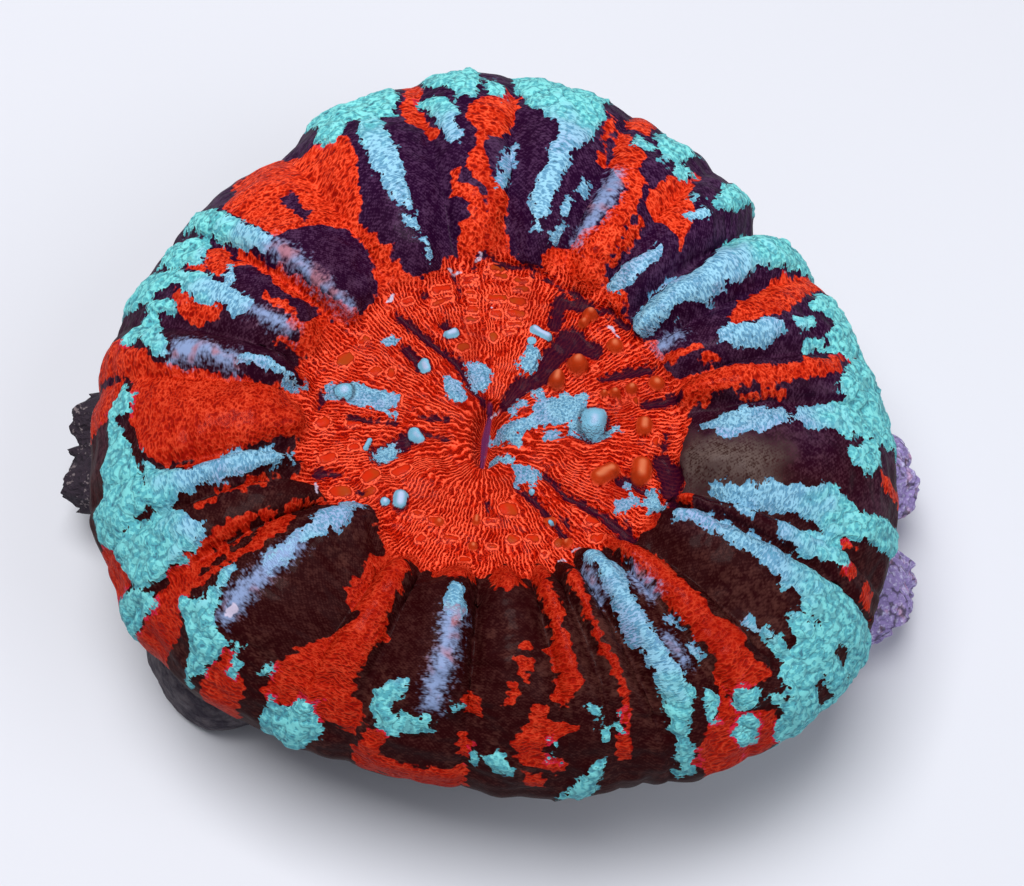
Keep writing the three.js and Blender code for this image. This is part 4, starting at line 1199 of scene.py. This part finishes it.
    def lobe_at(self, angle: np.ndarray) -> tuple[np.ndarray, ...]:
        """The lobe under an angle: a parabola from crest to groove, with its ends' sizes blended smoothly.

        Args:
            angle: the angles round the mouth.
        Returns:
            Height, pillow share (1 on the crest, 0 in the groove), reach and inner start.
        """
        table = np.array([astuple(lobe) for lobe in self.lobes])
        count = len(table)
        grooves = np.append(table[:, 0], table[0, 0] + FULL_TURN)
        turn = np.where(angle % FULL_TURN < grooves[0], angle % FULL_TURN + FULL_TURN, angle % FULL_TURN)
        index = np.clip(np.searchsorted(grooves, turn, side="right") - 1, 0, count - 1)
        groove, _, crest, reach, height, start = table[index].T
        rising = turn < crest
        far_groove = grooves[index + 1]
        offset = np.where(rising, (crest - turn) / (crest - groove), (turn - crest) / (far_groove - crest))
        beside = table[np.where(rising, index - 1, (index + 1) % count)]
        groove_reach = table[np.where(rising, index, (index + 1) % count), 1]
        share = ease(offset, 0, 1)
        return (
            height + (beside[:, 4] - height) / 2 * offset**2, 1 - offset**2,
            reach + (groove_reach - reach) * share,
            start + ((start + beside[:, 5]) / 2 + 0.9 - start) * share)

    def base(self, angle: np.ndarray, length: np.ndarray) -> np.ndarray:
        """The lobed surface without its fine relief, about the mouth axis.

        The section is turned round the mouth, stretched to each lobe's reach, and lifted along its own
        normal by the lobe's height; near the axis it opens into the slit of the mouth.
        """
        height, pillow, reach, start = self.lobe_at(angle)
        radius, _ = self.section.at(length)
        out, up = self.section.slope(length)
        shift = (12 - start) * ease(length, 5, 9) * (1 - ease(length, 14, 18))
        z = self.section.at(np.clip(length + shift, 0, self.section.whole))[1]
        fall = (1 - 0.55 * ease(length, *self.fall_limits)) * (1 - ease(length, *self.seat_limits))
        swell = ease(length - start, -0.3, 2.2) * fall
        lift = height * swell * (pillow - 0.75)
        wide = radius * (1 + (reach / 27 - 1) * np.clip((radius - 8) / 16, 0, 1)) - up * lift
        slit = (1 - np.clip(radius / 5, 0, 1)) ** 2
        dip = self.mouth_depth * np.exp(-((radius / 0.9) ** 2))
        turn = np.radians(angle)
        return np.stack([
            (wide + self.mouth_half_width * slit) * np.cos(turn) + self.mouth_aside * slit,
            (wide + self.mouth_half_length * slit) * np.sin(turn),
            z + out * lift - dip], -1)

    def normals(self, angle: np.ndarray, length: np.ndarray) -> np.ndarray:
        """Unit normals of the base: the cross product of its two central differences."""
        along = self.base(angle, length + 0.05) - self.base(angle, np.maximum(length - 0.05, 0))
        around = self.base(angle + 0.2, length) - self.base(angle - 0.2, length)
        normal = np.cross(along, around)
        return normal / np.maximum(np.linalg.norm(normal, axis=1, keepdims=True), 1e-9)

    def marks(self, angle: np.ndarray, length: np.ndarray, points: np.ndarray) -> dict[str, np.ndarray]:
        """The depth of every marking at each point, and the coordinates that the skin's lines follow.

        On the wall that the camera doesn't see, the ring's markings run on, drawn out and ragged.

        Args:
            angle, length: where the points are on the skin.
            points: their places about the mouth axis.
        Returns:
            The values by attribute name.
        """
        plan = points[:, :2]
        radius = np.linalg.norm(plan, axis=1)
        start = self.lobe_at(angle)[3]
        turn = np.radians(angle)
        past = np.maximum(length - (self.wall_start - self.wall_tilt * np.sin(turn)), 0)
        drawn = length - self.wall_stretch * past
        drawn += self.wall_ragged * np.minimum(past, 1) * grain(points, 2.2, 26)

        def bands(outlines: tuple[Outline, ...]) -> np.ndarray:
            """The joined depth of ring markings."""
            return deepest([band_depth(outline, angle, drawn, radius) for outline in outlines])

        def strokes(outlines: tuple[Outline, ...]) -> np.ndarray:
            """The joined depth of disc markings."""
            return deepest([stroke_depth(outline, plan) for outline in outlines])

        gaps = bands(GAP_BANDS)
        teal = np.minimum(np.maximum(bands(TEAL_BANDS), strokes(TEAL_STROKES)), -gaps)
        red = np.maximum(np.minimum(bands(RED_BANDS), -gaps), np.maximum(start + 0.2 - length, FAR))
        warts = self.domes(plan, self.warts)
        cells = np.maximum(strokes(CELL_STROKES), 0.5 * warts - 0.1)
        bend = 14 * self.swellings(plan, self.mounds, height=1.0)
        weave = np.stack([self.weave_radius * np.cos(turn), self.weave_radius * np.sin(turn), length], -1)
        return {
            Mark.RED: red, Mark.TEAL: teal, Mark.PALE: bands(PALE_BANDS), Mark.OLIVE: bands(OLIVE_BANDS),
            Mark.VALLEY: strokes(VALLEY_STROKES), Mark.LIPS: strokes(LIP_STROKES),
            Mark.FLECK: strokes(FLECK_STROKES), Mark.WART: warts, Mark.PEARL: self.domes(plan, self.pearls),
            Mark.DISC: 1 - ease(length - start, -0.4, 0.8), Mark.LENGTH: length, Mark.WEAVE: weave,
            Mark.CELL: cells, Mark.BROAD: 0.42 * grain(points, 3.6, 23),
            Mark.CLUMPS: 0.42 * grain(points, 1.0, 21) + 0.16 * grain(points, 0.5, 22),
            Mark.BEND: bend + 8 * grain(points, 1.7, 24) + 3 * grain(points, 0.8, 25)}

    @staticmethod
    def domes(plan: np.ndarray, bumps: tuple[Bump, ...]) -> np.ndarray:
        """How far points are inside round bumps, in the bump's radii: 1 in its middle, 0 at its foot."""
        return np.maximum(1 - np.min([bump.away(plan) for bump in bumps], axis=0), FAR)

    @staticmethod
    def swellings(plan: np.ndarray, bumps: tuple[Bump, ...], height: float | None = None) -> np.ndarray:
        """The summed height of bumps, each a bell of its own radius and height, or of the one given."""
        total = np.zeros(len(plan))
        for bump in bumps:
            away = bump.away(plan)
            total += (bump.height if height is None else height) * np.exp(-(away**2) * (1 + away**2) / 1.2)
        return total

    @staticmethod
    def knobs(plan: np.ndarray, bumps: tuple[Bump, ...]) -> np.ndarray:
        """The summed height of round-topped knobs: each a power of 1 less the square of its own distance."""
        total = np.zeros(len(plan))
        for bump in bumps:
            total += bump.height * np.clip(1 - bump.away(plan) ** 2, 0, 1) ** 0.7
        return total

    def relief(self, points: np.ndarray, marks: dict[str, np.ndarray]) -> np.ndarray:
        """The fine relief in millimetres along the normal.

        Soft lumps and cross wrinkles on the ring, a raised granular skin on the teal, knobs on the pale
        ridges, and on the disc its papillae, mounds and valleys; it dies away at the seat and the mouth.
        """
        length, weave = marks[Mark.LENGTH], marks[Mark.WEAVE]
        ring = 1 - marks[Mark.DISC]
        teal, red = ease(marks[Mark.TEAL], -0.15, 0.3), ease(marks[Mark.RED], -0.1, 0.25)
        lumps = 0.28 * grain(points, 3.6, 1) + 0.14 * grain(points, 1.7, 2)
        wrinkles = 0.16 * grain(weave, (2.2, 2.2, 0.95), 3) + 0.08 * grain(weave, (1.3, 1.3, 0.5), 4)
        total = ring * (lumps + wrinkles * (1 - 0.4 * teal) + 0.04 * red)
        lobules = np.minimum(np.abs(marks[Mark.CLUMPS]) / 0.12, 1) * ease(length, *self.rim_limits)
        granules = 0.15 * grain(points, 0.85, 5) + 0.09 * grain(points, 0.48, 6)
        total += teal * (self.teal_height + self.lobule_height * lobules + granules)
        total += ease(marks[Mark.PALE], -0.2, 0.3) * (self.pale_height + 0.2 * grain(points, 1.1, 7))
        plan = points[:, :2]
        total += marks[Mark.DISC] * (
            0.1 * grain(points, 1.5, 8) + 0.07 * grain(points, 0.6, 9)
            - self.valley_depth * ease(marks[Mark.VALLEY], -0.35, 0.3)
            + self.cell_height * ease(marks[Mark.CELL], -0.2, 0.25)
            + self.swellings(plan, self.mounds))
        total += self.knobs(plan, self.pearls + self.warts)
        return total * (1 - ease(length, 31, 36)) * ease(length, 0.2, 1.2)

    def build(self) -> bpy.types.Object:
        """Carries the relief out along the base's normals and makes the closed mesh."""
        grid = self.grid()
        points = self.base(grid.angle, grid.length)
        marks = self.marks(grid.angle, grid.length, points)
        points = points + self.normals(grid.angle, grid.length) * self.relief(points, marks)[:, None]
        points[0] = (self.mouth_aside, 0, points[1:self.columns // 8 + 1, 2].mean())
        points[-1] = (0, 0, points[-2, 2])
        return make_piece("polyp_flesh", points + (*self.mouth, 0), grid.faces, marks)


@dataclass(frozen=True)
class Lump:
    """A bulge or crust of the skeleton's wall, with the reach of its tip from the axis."""

    angle: float
    z: float
    reach: float
    half_angle: float
    half_height: float
    crust: Crust | None = None


@dataclass
class Skeleton:
    """The stony stump under the flesh, cut off flat."""

    section: Section = field(default_factory=lambda: Section((
        (22.2, 9), (23.4, 8.4), (23.9, 7.5), (23.8, 6.5), (23.3, 5.4), (22.6, 4.2), (21.7, 2.8), (20.8, 1.4),
        (20, 0))))
    lumps: tuple[Lump, ...] = (
        Lump(187, 4, 27.2, 16, 6, Crust.KNOB), Lump(355, 4, 27.8, 22, 6, Crust.CORALLINE),
        Lump(225, 2.5, 28.6, 14, 6), Lump(182, 6.2, 30.3, 4, 1.7, Crust.KNOB),
        Lump(191, 5.2, 30.6, 5.5, 2.6, Crust.KNOB),
        Lump(4, 5.6, 31.2, 8, 2.8, Crust.CORALLINE), Lump(346, 4.6, 31.8, 9, 3.8, Crust.CORALLINE))
    ribs: int = 48
    rib_depth: float = 0.5
    columns: int = 768
    rows: int = 52

    def build(self) -> bpy.types.Object:
        """Turns the section round the axis, with ribs, bulges and a rough crust on the wall.

        A rib is a cosine of the angle; a bulge reaches out by a flat-topped bell of angle and height; the
        crust is soft noise that is stronger on the bulges and none on the cut and the seat, with nodules,
        the absolute value of soft noise, on the growths.
        """
        grid = SkinGrid([(np.linspace(0, self.section.whole, self.rows), self.columns)])
        radius, z = self.section.at(grid.length)
        turn = np.radians(grid.angle)
        reach = radius - self.rib_depth / 2 * (1 - np.cos(turn * self.ribs))
        growth = {crust: np.zeros(len(reach)) for crust in Crust}
        for lump in self.lumps:
            aside = (grid.angle - lump.angle + 180) % FULL_TURN - 180
            away = (aside / lump.half_angle) ** 2 + ((z - lump.z) / lump.half_height) ** 2
            near = np.exp(-(away**2))
            reach = np.maximum(reach, reach + (lump.reach - reach) * near)
            if lump.crust is not None:
                growth[lump.crust] = np.maximum(growth[lump.crust], near)
        around = np.stack([np.cos(turn), np.sin(turn)], -1)
        points = np.concatenate([around * reach[:, None], z[:, None]], 1)
        knob, coralline = growth[Crust.KNOB], growth[Crust.CORALLINE]
        crusty = 0.4 + np.maximum(knob, 0.6 * coralline)
        rough = 0.35 * grain(points, 1.8, 11) + 0.22 * grain(points, 0.8, 12) + 0.12 * grain(points, 0.42, 13)
        nodules = 1.3 * np.abs(grain(points, 2.0, 15)) + 0.8 * np.abs(grain(points, 1.0, 16)) - 0.5
        rough += (nodules + 1.1 * grain(points, 3.6, 14)) * np.maximum(coralline, knob)
        on_wall = ease(z, 0.0, 0.8) * (1 - ease(z, 8.0, 8.9))
        points[:, :2] += around * (rough * crusty * on_wall)[:, None]
        points[0] = (0, 0, self.section.points[0][1])
        points[-1] = (0, 0, 0)
        return make_piece("skeleton_stump", points, grid.faces, dict(growth))


@dataclass(frozen=True)
class Lamp:
    """A square soft light that faces the middle of the coral."""

    name: str
    place: tuple[float, float, float]
    size: float
    power: float
    tint: tuple[float, float, float]

    def build(self) -> None:
        """Hangs the light in its place."""
        data = bpy.data.lights.new(self.name, "AREA")
        data.size, data.energy, data.color = self.size * MM, self.power, self.tint
        lamp = bpy.data.objects.new(self.name, data)
        lamp.location = [v * MM for v in self.place]
        lamp.rotation_euler = (-lamp.location).to_track_quat("-Z", "Y").to_euler()
        bpy.context.scene.collection.objects.link(lamp)


@dataclass
class Studio:
    """The pale floor, soft lights and the camera."""

    lamps: tuple[Lamp, ...] = (
        Lamp("key", (-80, 24, 416), 240, 1.95, (1.0, 0.99, 0.98)),
        Lamp("fill", (260, -90, 290), 260, 0.45, (0.95, 0.97, 1.0)))
    eye: tuple[float, float, float] = (1.56, -71.11, 146.19)
    right: tuple[float, float, float] = (0.992652, 0.107635, 0.055286)
    down: tuple[float, float, float] = (0.121003, -0.882985, -0.453536)
    ahead: tuple[float, float, float] = (0.0, 0.456893, -0.889521)
    focal_pixels: float = 2157.5
    image_width: float = 1024.0
    sensor: float = 36.0
    clip: Limits = (5.0, 10000.0)
    floor_half: float = 900.0
    floor_colour: Colour = srgb(214, 216, 224)
    sky_colour: Colour = srgb(225, 228, 238)
    sky_strength: float = 0.2

    def floor(self) -> bpy.types.Object:
        """A flat square under the cut."""
        half = self.floor_half
        corners = np.array([(-half, -half, 0), (half, -half, 0), (half, half, 0), (-half, half, 0)], float)
        piece = make_piece("floor", corners, [[0, 1, 2, 3]], {})
        sheet = Sheet("pale_floor")
        finish = sheet.finish(Base_Color=self.floor_colour, Roughness=0.9, Specular_IOR_Level=0.1)
        piece.data.materials.append(finish)
        return piece

    def camera(self) -> bpy.types.Object:
        """The camera at the photograph's place and turn."""
        data = bpy.data.cameras.new("camera")
        data.sensor_width = self.sensor
        data.lens = self.focal_pixels / self.image_width * self.sensor
        data.clip_start, data.clip_end = (v * MM for v in self.clip)
        camera = bpy.data.objects.new("camera", data)
        axes = np.array([self.right, [-v for v in self.down], [-v for v in self.ahead]]).T
        place = Matrix(axes.tolist()).to_4x4()
        place.translation = [v * MM for v in self.eye]
        camera.matrix_world = place
        bpy.context.scene.collection.objects.link(camera)
        bpy.context.scene.camera = camera
        return camera

    def build(self) -> None:
        """Sets out the floor, the lights, the surroundings and the camera."""
        self.floor()
        for lamp in self.lamps:
            lamp.build()
        world = bpy.data.worlds.new("studio")
        world.use_nodes = True
        background = world.node_tree.nodes["Background"]
        background.inputs["Color"].default_value = self.sky_colour
        background.inputs["Strength"].default_value = self.sky_strength
        bpy.context.scene.world = world
        bpy.context.scene.view_settings.view_transform = "Standard"
        self.camera()


def place(piece: bpy.types.Object, material: bpy.types.Material, node: str, slot: str) -> None:
    """Dresses a piece, and puts it in the frame in a node's stead.

    Args:
        piece: the new piece.
        material: its finish.
        node: the node that it stands for.
        slot: the record's material slot; not used.
    """
    piece.data.materials.append(material)
    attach(piece, "root")
    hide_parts(node)
    log.info("%s: %d points, %d faces", piece.name, len(piece.data.vertices), len(piece.data.polygons))


def main() -> None:
    """Builds the coral and its studio in order."""
    logging.basicConfig(level=logging.INFO, format="%(message)s")
    Studio().build()
    polyp = Polyp()
    place(polyp.build(), FleshFinish(polyp.mouth).material(), "polyp", "flesh")
    place(Skeleton().build(), StoneFinish().material(), "skeleton", "stony_skeleton")


if __name__ == "__main__":
    main()
